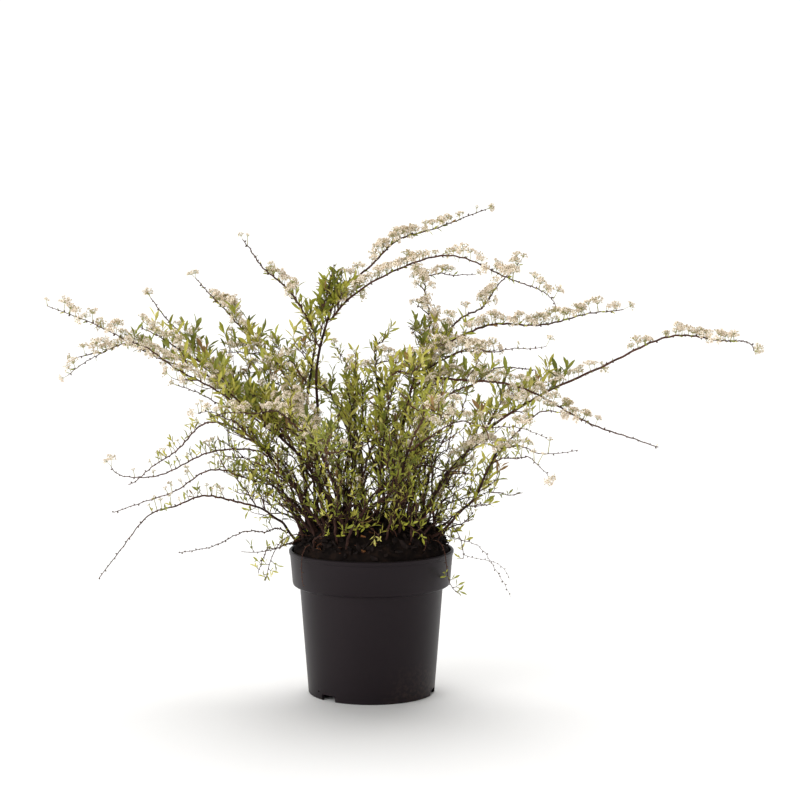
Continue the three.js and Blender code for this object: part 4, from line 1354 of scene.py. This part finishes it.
def chip_templates(count):
    """Flaked bits of bark: hulls of a few scattered points."""
    templates = []
    for _ in range(count):
        shape = bmesh.new()
        for _ in range(11):
            direction = unit(rng.normal(size=3))
            shape.verts.new(direction * (1, 0.55, 0.26) * rng.uniform(0.75, 1.1))
        hull = bmesh.ops.convex_hull(shape, input=shape.verts)
        loose = [item for item in hull["geom_interior"] if isinstance(item, bmesh.types.BMVert)]
        bmesh.ops.delete(shape, geom=loose, context="VERTS")
        bmesh.ops.triangulate(shape, faces=shape.faces)
        shape.verts.index_update()
        points = np.array([vertex.co for vertex in shape.verts])
        faces = np.array([[vertex.index for vertex in face.verts] for face in shape.faces])
        templates.append((points, faces))
        shape.free()
    return templates


def scatter_chips():
    """Bark chips and clods bedded in the top of the soil."""
    templates = chip_templates(8)
    for tint, shades, specular, count, sizes in CHIPS:
        pile = Pile()
        for _ in range(count):
            heaped = rng.random() < 0.25
            reach = rng.uniform(80, CHIP_REACH) if heaped else CHIP_REACH * math.sqrt(rng.uniform(0, 1))
            spot = on_soil(rng.uniform(0, 360), reach)
            size = rng.uniform(*sizes)
            spot[2] += rng.uniform(0, 4) if heaped else rng.uniform(-1.5, 1.5)
            points, faces = templates[rng.integers(len(templates))]
            axes = basis(unit(UP + rng.normal(size=3) * 0.55), rng.uniform(0, 6.28))
            pile.add(spot + (points * size) @ axes, faces)
        finish = mottled_finish(f"bark_chip_{tint}", shades, 200, 0.9, 0.8, specular)
        pile.make(f"bark_chips_{tint}", finish, "soil", smooth=False)


# ---- Stems with bark ----

def model_stem(name, stem):
    """A tapering stem with ridged bark, from a curve with the stem's own radii."""
    bpy.ops.object.select_all(action="DESELECT")
    bpy.ops.curve.primitive_nurbs_path_add()
    piece = bpy.context.object
    curve = piece.data
    curve.splines.clear()
    points = stem["path"].points
    line = curve.splines.new("POLY")
    line.points.add(len(points) - 1)
    for index, point in enumerate(points):
        share = index / (len(points) - 1)
        line.points[index].co = (*(point * MM), 1)
        flare = 1 + 0.25 * max(0, 1 - share * 6)
        line.points[index].radius = mix(stem["thick"], share) * BARK_SHARE * flare
    curve.dimensions = "3D"
    curve.bevel_depth = MM
    curve.bevel_resolution = 4
    curve.use_fill_caps = True
    bpy.ops.object.convert(target="MESH")
    piece = bpy.context.object
    piece.name = piece.data.name = f"bark_{name}"
    ridges = bpy.data.textures.new(f"ridges_{name}", "CLOUDS")
    ridges.noise_scale = 4 * MM
    apply_modifier(piece, "DISPLACE", texture=ridges, strength=0.7 * MM, mid_level=0.5)
    bpy.ops.object.shade_smooth()
    dress(piece, bark_finish)
    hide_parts(f"stem_{name}")


# ---- Making the joined pieces ----

def make_buds():
    """Small pointed buds: a four-sided spindle at each."""
    pile = Pile()
    points, faces = spindle(0.36, 0.4, 0)
    for point, direction, length in buds:
        pile.add(point + (points * length) @ basis(direction, 0), faces)
    pile.make("buds", bud_finish, "spray")


def make_blossom():
    """Sets a flower head at every place that was gathered, each kind of part joined apart."""
    heads = {
        "open": [
            umbel_template(11 + index % 4, FLORET_RADIUS, stalk, UMBEL_RADIUS)
            for index, stalk in enumerate(UMBEL_STALKS)
        ],
        "young": [
            umbel_template(5, YOUNG_FLORET_RADIUS, stalk, YOUNG_UMBEL_RADIUS) for stalk in YOUNG_STALKS
        ],
    }
    piles = {kind: Pile() for kind in BLOSSOM_PARTS}
    for point, direction, kind, size, spin, variant in umbels:
        axes = basis(direction, spin)
        for part, (points, faces) in heads[kind][variant].items():
            piles[part].add(point + (points * size) @ axes, faces)
    for kind, (name, finish) in BLOSSOM_PARTS.items():
        piles[kind].make(name, finish, "spray", smooth=False)


def make_foliage():
    for tint, rows in leaves.items():
        pile_leaves(rows).make(f"leaves_{tint}", leaf_finishes[tint], "spray")
    shoots.make("young_shoots", shoot_finish, "spray")
    twigs.make("side_twigs", wand_finish, "spray")
    wood.make("young_stems", bark_finish, "stem")
    wand_piece = wands.make("wands", wand_finish, "spray")
    names = [f"spray_{name}" for group in SPRAYS.values() for name in group]
    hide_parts(*names)


# ---- Stage ----

# Brightness of the studio at heights from the floor's edge (0) to overhead (1).
SKY_LEVELS = ((0.0, 1.08), (0.1, 1.08), (0.25, 0.82), (0.7, 0.62), (1.0, 0.4))
# The studio is bright behind the plant and on its left, and dimmer in front and on
# its right: the direction of the bright side and the level of the dim side.
BRIGHT_SIDE = (-0.9, 0.4, 0)
DIM_LEVEL = 0.4
# Each light: name, direction, strength and width in degrees.
LIGHTS = (
    ("back_light", (0.02, 0.46, 0.88), 2.4, 50),
    ("front_light", (-0.45, -0.8, 0.45), 0.65, 60),
    ("side_light", (-0.85, -0.5, 0.1), 1.3, 40),
)
LIGHT_COLOUR = (1.0, 0.99, 0.975)
FLOOR_SIZE = 60
FLOOR_GREY = 0.93
# The camera's place, how far it looks down in degrees, and its lens.
CAMERA_PLACE = (0.033, -2.6, 0.6)
CAMERA_DROP = 5.73
CAMERA_SENSOR = 36
CAMERA_LENS = 102.6


def light_sky():
    """A white studio round the plant, with a level for every height and side."""
    world = bpy.data.worlds.new("studio")
    bpy.context.scene.world = world
    world.use_nodes = True
    tree = world.node_tree
    place = add_node(tree, "TexCoord").outputs["Generated"]
    height = add_node(tree, "SeparateXYZ", {"Vector": place}).outputs["Z"]
    levels = add_node(tree, "FloatCurve", {"Value": height})
    curve = levels.mapping.curves[0]
    top = max(level for _, level in SKY_LEVELS)
    while len(curve.points) < len(SKY_LEVELS):
        curve.points.new(0.5, 0.5)
    for point, (share, level) in zip(curve.points, SKY_LEVELS):
        point.location = (share, level / top)
        point.handle_type = "VECTOR"
    levels.mapping.update()
    facing = add_node(tree, "VectorMath", {0: place, 1: BRIGHT_SIDE}, operation="DOT_PRODUCT")
    dim = add_range(tree, height, 0.08, 0.2, top, DIM_LEVEL * top)
    side = add_range(
        tree, facing.outputs["Value"], -0.3, 0.3, dim, top, interpolation_type="SMOOTHSTEP"
    )
    background = tree.nodes["Background"].inputs
    background["Color"].default_value = (1, 1, 1, 1)
    tree.links.new(add_product(tree, levels.outputs["Value"], side), background["Strength"])


def set_stage():
    bpy.ops.object.select_all(action="DESELECT")
    bpy.ops.mesh.primitive_plane_add(size=FLOOR_SIZE, location=(0, 0, 0))
    floor = bpy.context.object
    floor.name = "floor"
    floor.data.materials.append(plain_finish("pale_floor", [FLOOR_GREY] * 3, 0.9, 0.0))
    light_sky()
    for name, direction, strength, width in LIGHTS:
        bpy.ops.object.light_add(type="SUN", location=(0, 0, 3))
        lamp = bpy.context.object
        lamp.name = name
        lamp.data.energy = strength
        lamp.data.angle = math.radians(width)
        lamp.data.color = LIGHT_COLOUR
        lamp.rotation_euler = Vector(direction).to_track_quat("Z", "Y").to_euler()
    tilt = math.radians(90 - CAMERA_DROP)
    bpy.ops.object.camera_add(location=CAMERA_PLACE, rotation=(tilt, 0, 0))
    camera = bpy.context.object
    camera.data.sensor_width = CAMERA_SENSOR
    camera.data.lens = CAMERA_LENS
    bpy.context.scene.camera = camera
    bpy.context.scene.view_settings.view_transform = "Standard"


grow_stems()
grow_sprays()
grow_stem_twigs()
grow_thicket()
grow_dead_twigs()
grow_rim_sprigs()
grow_rim_twigs()
model_pot()
model_soil()
scatter_chips()
for stem_name, stem in STEMS.items():
    model_stem(stem_name, stem)
make_foliage()
make_blossom()
make_buds()
set_stage()
